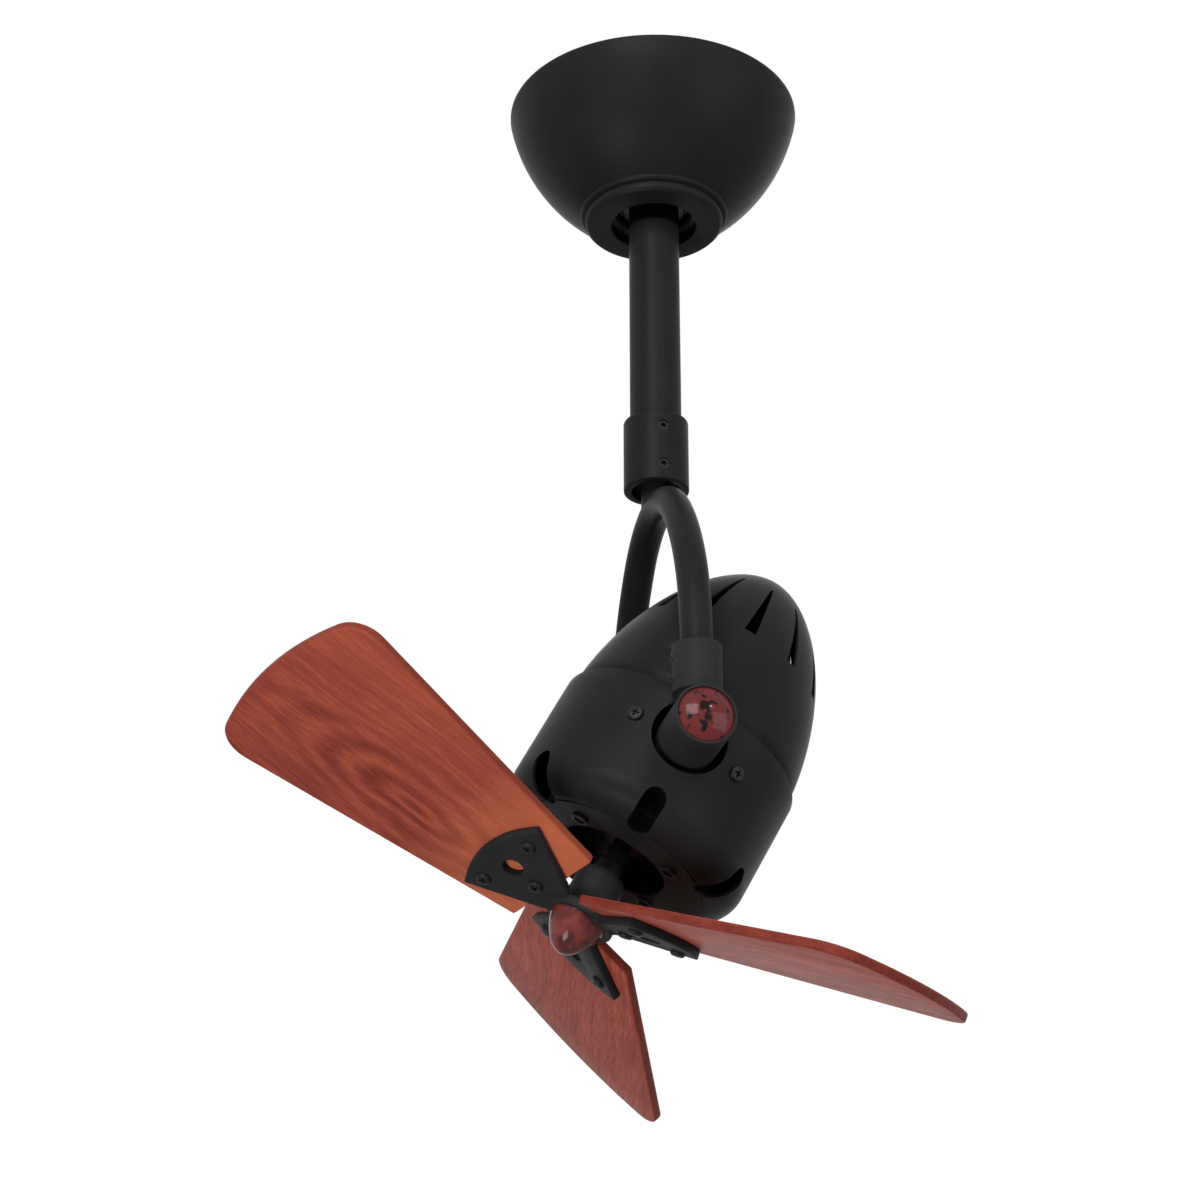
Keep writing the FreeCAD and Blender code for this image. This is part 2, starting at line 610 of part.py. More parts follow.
def front_bowl():
    w, c = DRUM_WALL, DRUM_CORNER_R
    turn = FACE_S - c
    face_r = DRUM_R - c
    k = math.sqrt(0.5)
    edges = [line(DRUM_R - w, SEAM_S, DRUM_R - SEAM_INSET, SEAM_S)]
    edges.append(line(DRUM_R - SEAM_INSET, SEAM_S, DRUM_R, SEAM_S + SEAM_CHAMFER))
    edges.append(line(DRUM_R, SEAM_S + SEAM_CHAMFER, DRUM_R, turn))
    edges.append(arc3((DRUM_R, turn), (face_r + k * c, turn + k * c), (face_r, FACE_S)))
    edges.append(line(face_r, FACE_S, FACE_HOLE_R, FACE_S))
    edges.append(line(FACE_HOLE_R, FACE_S, FACE_HOLE_R, FACE_S - w))
    edges.append(line(FACE_HOLE_R, FACE_S - w, face_r, FACE_S - w))
    ci = c - w
    edges.append(arc3((face_r, FACE_S - w), (face_r + k * ci, turn + k * ci), (DRUM_R - w, turn)))
    edges.append(line(DRUM_R - w, turn, DRUM_R - w, SEAM_S))
    bowl = revolve(edges)
    bowl = bowl.cut(cross_cylinder(BOSS_R + BOSS_HOLE_PLAY, 2 * DRUM_R))
    half = VENT_LEN / 2 - VENT_W / 2
    slot = Part.makeBox(VENT_W, 2 * half, 2 * c, V(-VENT_W / 2, -half, -c))
    for end in (-half, half):
        slot = slot.fuse(Part.makeCylinder(VENT_W / 2, 2 * c, V(0, end, -c)))
    slot.rotate(V(0, 0, 0), V(0, 0, 1), 90)
    slot.rotate(V(0, 0, 0), V(0, 1, 0), 45)
    slot.translate(V(face_r + k * c, 0, turn + k * c))
    for j in range(VENT_COUNT):
        bowl = bowl.cut(spin(slot, 360 / VENT_COUNT * j))
    for deg in side_screw_angles():
        hole = Part.makeCylinder(SIDE_SCREW_R + SLIP, 2 * DRUM_R, V(0, 0, SIDE_SCREW_S), V(1, 0, 0))
        bowl = bowl.cut(spin(hole, deg))
    for j in range(FACE_SCREW_COUNT):
        hole = Part.makeCylinder(FACE_SCREW_R + SLIP, 2 * w, V(FACE_SCREW_RING_R, 0, FACE_S - 1.5 * w))
        bowl = bowl.cut(spin(hole, face_screw_angle(j)))
    save_head(bowl, "front_bowl")


def side_screw_angles():
    return (SIDE_SCREW_DEG, -SIDE_SCREW_DEG, 180 - SIDE_SCREW_DEG, 180 + SIDE_SCREW_DEG)


def face_screw_angle(j):
    return 360 / FACE_SCREW_COUNT * (j + 0.5)


def head_screws():
    for j, deg in enumerate(side_screw_angles()):
        base = V(DRUM_R, 0, SIDE_SCREW_S)
        screw = socket_screw(SIDE_HEAD_R, SIDE_HEAD_H, SIDE_SCREW_R, SIDE_SCREW_LEN, (1, 0, 0), base)
        save_head(spin(screw, deg), "side_screw_%d" % (j + 1))
    for j in range(FACE_SCREW_COUNT):
        base = V(FACE_SCREW_RING_R, 0, FACE_S)
        screw = socket_screw(FACE_HEAD_R, FACE_HEAD_H, FACE_SCREW_R, FACE_SCREW_LEN, (0, 0, 1), base)
        save_head(spin(screw, face_screw_angle(j)), "face_screw_%d" % (j + 1))


# Rear dome: egg-shaped cover with tapered cooling slots and a skirt inside the bowl
def egg(shrink):
    """Outline from the skirt to the pole, drawn inside the outer surface by shrink."""
    pts = []
    for q, share in ((0.0, 1.0), (0.3, 0.929), (0.55, 0.784), (0.75, 0.595), (0.9, 0.3705), (1.0, 0.0)):
        pts.append(V(share * (DOME_R - shrink), 0, SEAM_S - q * (DOME_LEN - shrink)))
    curve = Part.BSplineCurve()
    curve.interpolate(Points=pts, InitialTangent=V(0, 0, -1), FinalTangent=V(-1, 0, 0))
    return curve.toShape(), pts[0], pts[-1]


def rear_dome():
    outer, out_rim, out_pole = egg(0)
    inner, in_rim, in_pole = egg(DOME_WALL)
    top = SEAM_S + DOME_SKIRT
    edges = [outer, Part.makeLine(out_pole, in_pole), inner]
    edges.append(line(in_rim.x, in_rim.z, in_rim.x, top))
    edges.append(line(in_rim.x, top, out_rim.x, top))
    edges.append(line(out_rim.x, top, out_rim.x, out_rim.z))
    dome = revolve(Part.__sortEdges__(edges))
    near, far = DOME_SLOT_S
    a, b = DOME_SLOT_W[0] / 2, DOME_SLOT_W[1] / 2
    corners = ((-a, near), (a, near), (b, far), (-b, far), (-a, near))
    wedge = Part.makePolygon([V(DOME_SLOT_W[0], t, z) for t, z in corners])
    wedge = Part.Face(wedge).extrude(V(DOME_R, 0, 0))
    for j in range(DOME_SLOTS):
        dome = dome.cut(spin(wedge, 360 / DOME_SLOTS * j))
    dome = dome.cut(cross_cylinder(BOSS_R + BOSS_HOLE_PLAY, 2 * DRUM_R))
    for deg in side_screw_angles():
        hole = Part.makeCylinder(SIDE_SCREW_R + SLIP, 2 * DRUM_R, V(0, 0, SIDE_SCREW_S), V(1, 0, 0))
        dome = dome.cut(spin(hole, deg))
    save_head(dome, "rear_dome")


# Motor frame: tube with two side pads for the tilt bolts
def motor_frame():
    length = FRAME_FRONT_S - FRAME_REAR_S
    body = ring(FRAME_R - FRAME_WALL, FRAME_R, FRAME_REAR_S, length)
    bore = Part.makeCylinder(FRAME_R - FRAME_WALL, length, V(0, 0, FRAME_REAR_S))
    pads = cross_cylinder(PAD_R, PAD_X).cut(bore)
    body = body.fuse(pads).cut(cross_cylinder(TILT_BOLT_R + SLIP, PAD_X + 1))
    save_head(body, "motor_frame")
    for side, name in ((1, "near"), (-1, "far")):
        d = V(side, 0, 0)
        washer = Part.makeCylinder(PAD_R, WASHER_T, d * PAD_X, d)
        washer = washer.cut(Part.makeCylinder(TILT_BOLT_R + SLIP, WASHER_T, d * PAD_X, d))
        save_head(washer, "tilt_washer_" + name)
        seat = BOSS_END_X - CAP_DEPTH - TILT_HEAD_H - 2 * GAP
        inner = FRAME_R - FRAME_WALL + TILT_BOLT_SUNK
        bolt = Part.makeCylinder(TILT_BOLT_R, seat - inner, d * inner, d)
        head = Part.makeCylinder(TILT_HEAD_R, TILT_HEAD_H, d * seat, d)
        save_head(bolt.fuse(head), "tilt_bolt_" + name)


# End bells: the front one carries posts for the bowl's face, both hold a shaft bush
def end_bells():
    front = ring(SHAFT_BUSH_R + SLIP, FRAME_R, FRAME_FRONT_S, BELL_T)
    post_h = FACE_S - DRUM_WALL - FRAME_FRONT_S - BELL_T
    for j in range(FACE_SCREW_COUNT):
        at = V(FACE_SCREW_RING_R, 0, FRAME_FRONT_S + BELL_T)
        post = Part.makeCylinder(FACE_POST_R, post_h, at)
        post = post.cut(Part.makeCylinder(FACE_SCREW_R + SLIP, post_h, at))
        front = front.fuse(spin(post, face_screw_angle(j)))
    save_head(front, "front_bell")
    rear = ring(SHAFT_BUSH_R + SLIP, FRAME_R, FRAME_REAR_S - BELL_T, BELL_T)
    save_head(rear, "rear_bell")
    for name, low in (("front", FRAME_FRONT_S - BUSH_IN), ("rear", FRAME_REAR_S - BELL_T - BUSH_OUT)):
        bush = ring(SHAFT_R + RUN, SHAFT_BUSH_R, low, BUSH_IN + BELL_T + BUSH_OUT)
        save_head(bush, "shaft_bush_" + name)


# Stator: slotted core with a winding ring at each end
def stator():
    low = -STATOR_LEN / 2 - STATOR_BACK
    core_r = FRAME_R - FRAME_WALL - SLIP
    core = ring(STATOR_R, core_r, low, STATOR_LEN)
    notch_at = V(STATOR_R + STATOR_TOOTH_T, -STATOR_SLOT_W / 2, low)
    notch = Part.makeBox(STATOR_SLOT_H, STATOR_SLOT_W, STATOR_LEN, notch_at)
    mouth_at = V(STATOR_R - GAP, -STATOR_MOUTH_W / 2, low)
    mouth = Part.makeBox(2 * STATOR_TOOTH_T, STATOR_MOUTH_W, STATOR_LEN, mouth_at)
    for j in range(STATOR_SLOTS):
        core = core.cut(spin(notch.fuse(mouth), 360 / STATOR_SLOTS * j))
    core = core.cut(cross_cylinder(TILT_BOLT_R + GAP, FRAME_R))
    save_head(core, "stator_core")
    for name, z in (("front", low + STATOR_LEN), ("rear", low - WINDING_H)):
        coil = ring(STATOR_R + WINDING_INSET, core_r - WINDING_INSET, z, WINDING_H)
        coil = coil.makeFillet(WINDING_ROUND, [e for e in coil.Edges if e.Closed and len(e.Vertexes) == 1])
        save_head(coil, "winding_" + name)
    rotor = ring(SHAFT_R + SLIP, STATOR_R - AIR_GAP, low, STATOR_LEN)
    save_head(rotor, "rotor_core")
    shaft_low = FRAME_REAR_S - BELL_T - SHAFT_TAIL
    shaft = Part.makeCylinder(SHAFT_R, SPIDER_S + SPIDER_T - shaft_low, V(0, 0, shaft_low))
    save_head(shaft, "fan_shaft")
    collar = ring(SHAFT_R + SLIP, COLLAR_R, HUB_REAR_S - COLLAR_H, COLLAR_H)
    save_head(collar, "shaft_collar")


# One blade's own frame: u outwards, w along the chord, n forwards
def blade_place(index):
    lean = FreeCAD.Rotation(V(1, 0, 0), BLADE_PITCH_DEG)
    turn = FreeCAD.Rotation(V(0, 0, 1), BLADE_FIRST_DEG - 360 / BLADE_COUNT * index)
    return FreeCAD.Placement(V(0, 0, BLADE_S), turn.multiply(lean))


def blade_outline(z):
    k = BLADE_FLARE
    rise = math.sqrt(1 + k * k)
    c0 = BLADE_ROOT_W - k * BLADE_ROOT_U - BLADE_CORNER_R * rise
    reach = BLADE_TIP_R - BLADE_CORNER_R
    b = k * c0
    uc = (-b + math.sqrt(b * b - rise ** 2 * (c0 ** 2 - reach ** 2))) / rise ** 2
    wc = k * uc + c0
    a0 = math.atan2(1, -k)
    a1 = math.atan2(wc, uc)
    am = (a0 + a1) / 2

    def rim(a, s):
        return V(uc + BLADE_CORNER_R * math.cos(a), s * (wc + BLADE_CORNER_R * math.sin(a)), z)

    def tip(a):
        return V(BLADE_TIP_R * math.cos(a), BLADE_TIP_R * math.sin(a), z)

    up, down = V(BLADE_ROOT_U, BLADE_ROOT_W, z), V(BLADE_ROOT_U, -BLADE_ROOT_W, z)
    edges = [Part.makeLine(down, up), Part.makeLine(up, rim(a0, 1))]
    edges.append(Part.Arc(rim(a0, 1), rim(am, 1), rim(a1, 1)).toShape())
    edges.append(Part.Arc(tip(a1), tip(0), tip(-a1)).toShape())
    edges.append(Part.Arc(rim(a1, -1), rim(am, -1), rim(a0, -1)).toShape())
    edges.append(Part.makeLine(rim(a0, -1), down))
    return Part.Wire(edges)


def blades():
    plain = Part.Face(blade_outline(-BLADE_T / 2)).extrude(V(0, 0, BLADE_T))
    for u, w in PADDLE_SCREWS:
        plain = plain.cut(Part.makeCylinder(PADDLE_SCREW_R + SLIP, 2 * BLADE_T, V(u, w, -BLADE_T)))
    hole_rim = 2 * math.pi * PADDLE_SCREW_R + BLADE_T
    rims = [e for e in plain.Edges if e.Length > hole_rim and e.BoundBox.ZLength < SLIP]
    plain = plain.makeFillet(BLADE_EDGE, rims)
    for j in range(BLADE_COUNT):
        blade = plain.copy()
        blade.Placement = blade_place(j)
        save_head(blade, "blade_%d" % (j + 1))


# Blade spider: hub, twisted arms and a sector paddle on the front of each blade
def paddle():
    n0 = BLADE_T / 2 + SLIP
    half = math.radians(PADDLE_HALF_DEG)
    reach_u, reach_w = PADDLE_R * math.cos(half), PADDLE_R * math.sin(half)
    a, b = V(PADDLE_ROOT_U, -PADDLE_ROOT_W, n0), V(PADDLE_ROOT_U, PADDLE_ROOT_W, n0)
    p, q = V(reach_u, -reach_w, n0), V(reach_u, reach_w, n0)
    edges = [Part.makeLine(b, a), Part.makeLine(a, p)]
    edges.append(Part.Arc(p, V(PADDLE_R, 0, n0), q).toShape())
    edges.append(Part.makeLine(q, b))
    plate = Part.Face(Part.Wire(edges)).extrude(V(0, 0, PADDLE_T))
    front = [e for e in plate.Edges if e.BoundBox.ZMin > n0 + PADDLE_T - SLIP]
    return plate.makeChamfer(PADDLE_EDGE, [e for e in front if e.BoundBox.XMax > PADDLE_ROOT_U + SLIP])


def arm(index):
    """A short ruled web that turns from the hub's plane to the pitch of the paddle."""
    square = ((-1, -1), (1, -1), (1, 1), (-1, 1), (-1, -1))
    mid = BLADE_T / 2 + SLIP + PADDLE_T / 2
    thick = PADDLE_T / 2 - ARM_INSET
    far_u, far_w = PADDLE_ROOT_U + PADDLE_EDGE, PADDLE_ROOT_W - ARM_INSET
    place = blade_place(index)
    far = [place.multVec(V(far_u, a * far_w, mid + b * thick)) for a, b in square]
    mid = SPIDER_S + SPIDER_T / 2
    thick = SPIDER_T / 2 - ARM_INSET
    turn = FreeCAD.Rotation(V(0, 0, 1), BLADE_FIRST_DEG - 360 / BLADE_COUNT * index)
    near = [turn.multVec(V(ARM_ROOT_U, a * ARM_ROOT_W, mid + b * thick)) for a, b in square]
    return Part.makeLoft([Part.makePolygon(near), Part.makePolygon(far)], True, True)


def pan_screw(u, w):
    """A pan-head screw through a paddle and its blade."""
    base = V(u, w, BLADE_T / 2 + SLIP + PADDLE_T)
    shank = Part.makeCylinder(PADDLE_SCREW_R, PADDLE_T + BLADE_T, base, V(0, 0, -1))
    ball = Part.makeSphere(PADDLE_HEAD_BALL_R, base + V(0, 0, PADDLE_HEAD_H - PADDLE_HEAD_BALL_R))
    return Part.makeCylinder(PADDLE_HEAD_R, PADDLE_HEAD_H, base).common(ball).fuse(shank)


def spider():
    plate = paddle()
    hub = Part.makeCone(COLLAR_R + HUB_CONE_STEP, HUB_R, HUB_CONE_H, V(0, 0, HUB_REAR_S))
    body_s = HUB_REAR_S + HUB_CONE_H
    hub = hub.fuse(Part.makeCylinder(HUB_R, SPIDER_S - body_s, V(0, 0, body_s)))
    body = hub.fuse(Part.makeCylinder(SPIDER_R, SPIDER_T, V(0, 0, SPIDER_S)))
    for j in range(BLADE_COUNT):
        pad = plate.copy()
        pad.Placement = blade_place(j)
        body = body.fuse(arm(j)).fuse(pad)
    for j in range(BLADE_COUNT):
        place = blade_place(j)
        through = 2 * PADDLE_T + BLADE_T
        holes = Part.makeCylinder(PADDLE_HOLE_R, through, V(PADDLE_HOLE_U, 0, 0))
        for u, w in PADDLE_SCREWS:
            holes = holes.fuse(Part.makeCylinder(PADDLE_SCREW_R + SLIP, through, V(u, w, 0)))
        holes.Placement = place
        body = body.cut(holes)
        screws = Part.makeCompound([pan_screw(u, w) for u, w in PADDLE_SCREWS])
        screws.Placement = place
        save_head(screws, "blade_screws_%d" % (j + 1))
    nose_s = SPIDER_S + SPIDER_T + SLIP
    body = body.cut(Part.makeCylinder(NOSE_R + SLIP, NOSE_H, V(0, 0, SPIDER_S + SPIDER_T)))
    body = body.cut(Part.makeCylinder(SHAFT_R + SLIP, nose_s - HUB_REAR_S, V(0, 0, HUB_REAR_S)))
    save_head(body, "blade_spider")
    nose(nose_s)


# Nose: a solid of revolution like a blunt acorn, seated on the hub
def nose(low):
    rise = ((1.0, 0.0), (0.88, 0.3), (0.67, 0.62), (0.38, 0.88), (0.0, 1.0))
    pts = [V(r * NOSE_R, 0, low + h * NOSE_H) for r, h in rise]
    curve = Part.BSplineCurve()
    curve.interpolate(Points=pts, InitialTangent=V(0, 0, 1), FinalTangent=V(-1, 0, 0))
    centre = V(0, 0, low)
    edges = [curve.toShape(), Part.makeLine(pts[-1], centre), Part.makeLine(centre, pts[0])]
    save_head(revolve(edges), "nose")


def build():
    canopy()
    trim_ring()
    bearing_housing()
    plate_and_screws()
    bearings()
    swing_drive()
    downrod()
    fork()
    foot_casting(1, "near")
    foot_casting(-1, "far")
    front_bowl()
    head_screws()
    rear_dome()
    motor_frame()
    end_bells()
    stator()
    blades()
    spider()


build()
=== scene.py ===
import json
import math
import bpy
from mathutils import Matrix, Vector


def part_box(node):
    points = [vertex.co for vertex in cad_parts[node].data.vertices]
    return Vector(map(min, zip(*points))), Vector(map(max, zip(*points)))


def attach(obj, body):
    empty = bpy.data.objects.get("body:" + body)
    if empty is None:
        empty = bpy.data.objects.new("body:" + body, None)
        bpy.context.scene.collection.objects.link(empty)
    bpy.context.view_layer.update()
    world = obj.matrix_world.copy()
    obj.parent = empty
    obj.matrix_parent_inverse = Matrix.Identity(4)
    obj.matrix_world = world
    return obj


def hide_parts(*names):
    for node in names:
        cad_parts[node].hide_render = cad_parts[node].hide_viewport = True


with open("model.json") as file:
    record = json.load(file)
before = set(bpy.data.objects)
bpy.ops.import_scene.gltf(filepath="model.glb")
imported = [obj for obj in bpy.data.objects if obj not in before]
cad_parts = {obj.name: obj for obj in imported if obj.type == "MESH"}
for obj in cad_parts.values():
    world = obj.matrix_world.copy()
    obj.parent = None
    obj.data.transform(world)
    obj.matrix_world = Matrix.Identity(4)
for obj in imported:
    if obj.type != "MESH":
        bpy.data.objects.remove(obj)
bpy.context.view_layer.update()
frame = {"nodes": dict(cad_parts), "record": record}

# Studio: the fan hangs in a plain white room over a pale floor, lit by large soft panels.
# The camera stands below the blades and looks up at the head, as in the photograph.
CAMERA_PLACE = (1.22234, -0.30244, -0.86919)
CAMERA_AHEAD = (-0.97632, 0.21634)
CAMERA_PITCH = math.radians(24.074)
CAMERA_LENS = 77.21
CAMERA_SENSOR = 36.0
FLOOR_Z = -2.4
FLOOR_HALF = 6.0
FLOOR_GLOW = 0.45
FLOOR_TONE = (0.55, 0.55, 0.55, 1.0)
FLOOR_ROUGH = 0.9
WHITE = (1.0, 1.0, 1.0, 1.0)
AIR_LIGHT = 0.10
LAMPS = (
    ("lamp_key", (1.9, -0.9, 0.6), 1.1, 38.0),
    ("lamp_fill", (1.6, 1.5, -0.35), 1.5, 15.0),
    ("lamp_back", (-1.7, 0.6, 0.9), 1.4, 4.0),
    ("lamp_low", (0.9, -1.2, -1.5), 0.6, 16.0),
    ("lamp_spark", (1.5, 0.6, 0.6), 0.14, 2.5),
)
LAMP_TARGET = Vector((0.0, 0.0, -0.36))

scene = bpy.context.scene
scene.view_settings.view_transform = "Standard"


def fed(tree, target, inputs):
    """Gives each input of a shader node its value, or links it to another node's output."""
    for label, value in inputs.items():
        if isinstance(value, bpy.types.NodeSocket):
            tree.links.new(value, target.inputs[label])
        else:
            target.inputs[label].default_value = value
    return target


def added(tree, kind, inputs, **settings):
    """A new shader node with its settings and inputs."""
    fresh = tree.nodes.new("ShaderNode" + kind)
    for label, value in settings.items():
        setattr(fresh, label, value)
    return fed(tree, fresh, inputs)


def seen_level(tree, lighting, seen):
    """A strength for what the camera, mirrors and glass see, and a lower one as light."""
    path = added(tree, "LightPath", {})
    shown = path.outputs["Is Camera Ray"]
    for ray in ("Is Glossy Ray", "Is Transmission Ray"):
        either = added(tree, "Math", {0: shown, 1: path.outputs[ray]}, operation="MAXIMUM")
        shown = either.outputs[0]
    level = added(tree, "MapRange", {"Value": shown, "To Min": lighting, "To Max": seen})
    return level.outputs["Result"]


world = bpy.data.worlds.new("studio_air")
world.use_nodes = True
scene.world = world
air_level = seen_level(world.node_tree, AIR_LIGHT, 1.0)
fed(world.node_tree, world.node_tree.nodes["Background"], {"Color": WHITE, "Strength": air_level})

bpy.ops.object.select_all(action="DESELECT")
bpy.ops.mesh.primitive_plane_add(size=2 * FLOOR_HALF, location=(0, 0, FLOOR_Z))
floor = bpy.context.object
floor.name = "studio_floor"
pale = bpy.data.materials.new("pale_floor")
pale.use_nodes = True
fed(pale.node_tree, pale.node_tree.nodes["Principled BSDF"], {
    "Base Color": FLOOR_TONE, "Roughness": FLOOR_ROUGH, "Emission Color": WHITE,
    "Emission Strength": seen_level(pale.node_tree, 0.0, FLOOR_GLOW)})
floor.data.materials.append(pale)

for name, place, size, power in LAMPS:
    panel = bpy.data.lights.new(name, "AREA")
    panel.size = size
    panel.energy = power
    lamp = bpy.data.objects.new(name, panel)
    scene.collection.objects.link(lamp)
    lamp.location = place
    lamp.rotation_euler = (LAMP_TARGET - Vector(place)).to_track_quat("-Z", "Y").to_euler()

eye = bpy.data.cameras.new("photo_camera")
eye.lens = CAMERA_LENS
eye.sensor_width = CAMERA_SENSOR
camera = bpy.data.objects.new("photo_camera", eye)
scene.collection.objects.link(camera)
camera.location = CAMERA_PLACE
ahead = Vector(CAMERA_AHEAD).to_3d() * math.cos(CAMERA_PITCH)
ahead.z = math.sin(CAMERA_PITCH)
camera.rotation_euler = ahead.to_track_quat("-Z", "Y").to_euler()
scene.camera = camera

# Hanger plate and the swing drive inside the canopy: a zinc-plated steel plate, a cast bearing
# housing with two ground ball bearings, a pressed motor can and a pair of moulded nylon gears.
# They are CAD nodes as they are, each in the metal or plastic of such a part; the races' near-black
# tone is grease and painted shade.
ZINC = ((0.24, 0.245, 0.255, 1.0), (0.32, 0.32, 0.325, 1.0))
ZINC_WORK = ((0.30, 0.45), 900.0, 60.0, 0.00003)
# The races' tones are grease and painted shade: ground steel made near-black for the dark hollow
# inside the ring.
GREASED_STEEL_AND_SHADE = ((0.014, 0.014, 0.013, 1.0), (0.045, 0.044, 0.043, 1.0))
GROUND_WORK = ((0.16, 0.42), 3000.0, 160.0, 0.00001)
CAST_ALLOY = ((0.10, 0.10, 0.105, 1.0), (0.17, 0.17, 0.175, 1.0))
CAST_WORK = ((0.45, 0.62), 1100.0, 90.0, 0.00012)
CAST_METALLIC = 0.9
PRESSED_CAN = ((0.52, 0.52, 0.53, 1.0), (0.62, 0.62, 0.62, 1.0))
CAN_WORK = ((0.25, 0.38), 1500.0, 50.0, 0.00002)
NYLON = ((0.62, 0.60, 0.52, 1.0), (0.74, 0.72, 0.64, 1.0))
NYLON_WORK = ((0.42, 0.52), 1800.0, 120.0, 0.00003)
RELIEF_STRENGTH = 0.3
NOISE_SPAN = (0.3, 0.7)


def surface_group(name, inputs, outputs):
    """An empty shader node group with its own sockets."""
    group = bpy.data.node_groups.new(name, "ShaderNodeTree")
    for label, value in inputs:
        socket = group.interface.new_socket(label, in_out="INPUT", socket_type="NodeSocketFloat")
        socket.default_value = value
    for label in outputs:
        group.interface.new_socket(label, in_out="OUTPUT", socket_type="NodeSocketFloat")
    return group, group.nodes.new("NodeGroupInput"), group.nodes.new("NodeGroupOutput")


worked, worked_in, worked_out = surface_group(
    "worked_surface", (("Fine", 2000.0), ("Cloud", 40.0)), ("Height", "Cloud"))
worked_place = added(worked, "TexCoord", {}).outputs["Object"]
worked_fine = added(worked, "TexNoise", {
    "Vector": worked_place, "Scale": worked_in.outputs["Fine"], "Detail": 1.0})
worked_cloud = added(worked, "TexNoise", {
    "Vector": worked_place, "Scale": worked_in.outputs["Cloud"], "Detail": 3.0})
worked_spread = added(worked, "MapRange", {
    "Value": worked_cloud.outputs["Fac"], "From Min": NOISE_SPAN[0], "From Max": NOISE_SPAN[1]})
fed(worked, worked_out, {
    "Height": worked_fine.outputs["Fac"], "Cloud": worked_spread.outputs["Result"]})


def new_finish(name):
    """A material with its node tree and its Principled shader."""
    finish = bpy.data.materials.new(name)
    finish.use_nodes = True
    return finish, finish.node_tree, finish.node_tree.nodes["Principled BSDF"]


def worked_finish(name, tones, work, metallic=0.0, specular=0.5):
    """A plain surface in two tones; work is its roughness, relief and cloud scales, and depth."""
    finish, tree, shader = new_finish(name)
    rough, fine, cloud, depth = work
    surface = added(tree, "Group", {"Fine": fine, "Cloud": cloud}, node_tree=worked)
    patches = surface.outputs["Cloud"]
    mix = added(tree, "Mix", {"Factor": patches, "A": tones[0], "B": tones[1]}, data_type="RGBA")
    gloss = added(tree, "MapRange", {"Value": patches, "To Min": rough[0], "To Max": rough[1]})
    bump = added(tree, "Bump", {
        "Height": surface.outputs["Height"], "Strength": RELIEF_STRENGTH, "Distance": depth})
    fed(tree, shader, {
        "Base Color": mix.outputs["Result"], "Roughness": gloss.outputs["Result"],
        "Normal": bump.outputs["Normal"], "Metallic": metallic, "Specular IOR Level": specular})
    return finish


def dress(finish, *names):
    """Gives CAD nodes their finish."""
    for name in names:
        node = frame["nodes"][name]
        node.data.materials.clear()
        node.data.materials.append(finish)


zinc = worked_finish("zinc_plate", ZINC, ZINC_WORK, metallic=1.0)
dress(zinc, "hanger_plate", "housing_screws", "motor_screws")
ground = worked_finish("greased_steel_and_painted_shade", GREASED_STEEL_AND_SHADE, GROUND_WORK, metallic=1.0)
dress(ground, "upper_outer_race", "lower_outer_race", "upper_inner_race", "lower_inner_race")
cast = worked_finish("cast_alloy", CAST_ALLOY, CAST_WORK, metallic=CAST_METALLIC)
dress(cast, "bearing_housing")
can = worked_finish("pressed_can", PRESSED_CAN, CAN_WORK, metallic=1.0)
dress(can, "swing_motor")
nylon = worked_finish("moulded_nylon", NYLON, NYLON_WORK)
dress(nylon, "swing_gear", "swing_pinion")

# Canopy: a bowl spun from sheet steel, with a turned rim at the ceiling and a rolled lip at the
# foot. Like most of the fan it is sprayed with satin black powder and baked, which leaves a fine
# orange peel.
MM = 0.001
MERGE = 2e-6
CANOPY_R = 83.0
CANOPY_RIM_Z = -1.8
CANOPY_MID = (68.9, -36.0)
CANOPY_LIP = (42.0, -64.4)
CANOPY_FOOT_Z = -67.0
CANOPY_BEAD = 1.3
CANOPY_HOLE_R = 32.29
CANOPY_WALL = 1.4
CANOPY_RIM_EDGE = (0.3, 0.45)
CANOPY_SIDES = 160
COAT_TONES = ((0.0136, 0.0136, 0.0138, 1.0), (0.0168, 0.0168, 0.0170, 1.0))
COAT_WORK = ((0.38, 0.46), 2600.0, 38.0, 0.00004)
COAT_SPECULAR = 0.045


def arc_through(start, mid, end, count, grow=0.0):
    """Points of the arc from start over mid to end; grow makes a concentric arc beside it."""
    (ax, ay), (bx, by), (cx, cy) = start, mid, end
    a2, b2, c2 = ax * ax + ay * ay, bx * bx + by * by, cx * cx + cy * cy
    d = 2 * (ax * (by - cy) + bx * (cy - ay) + cx * (ay - by))
    x = (a2 * (by - cy) + b2 * (cy - ay) + c2 * (ay - by)) / d
    y = (a2 * (cx - bx) + b2 * (ax - cx) + c2 * (bx - ax)) / d
    radius = math.hypot(ax - x, ay - y) + grow
    first = math.atan2(ay - y, ax - x)
    sweep = math.remainder(math.atan2(cy - y, cx - x) - first, 2 * math.pi)
    turns = [first + sweep * k / count for k in range(count + 1)]
    return [(x + radius * math.cos(t), y + radius * math.sin(t)) for t in turns]


def eased(corners, count=4):
    """A closed outline from corners (x, y, setback), each rounded over its setback."""
    outline = []
    for k, (x, y, setback) in enumerate(corners):
        if not setback:
            outline.append((x, y))
            continue
        here = Vector((x, y))
        back = Vector(corners[k - 1][:2]) - here
        on = Vector(corners[(k + 1) % len(corners)][:2]) - here
        first, last = here + setback * back.normalized(), here + setback * on.normalized()
        for step in range(count + 1):
            t = step / count
            outline.append(tuple(first * (1 - t) ** 2 + here * 2 * t * (1 - t) + last * t ** 2))
    return outline


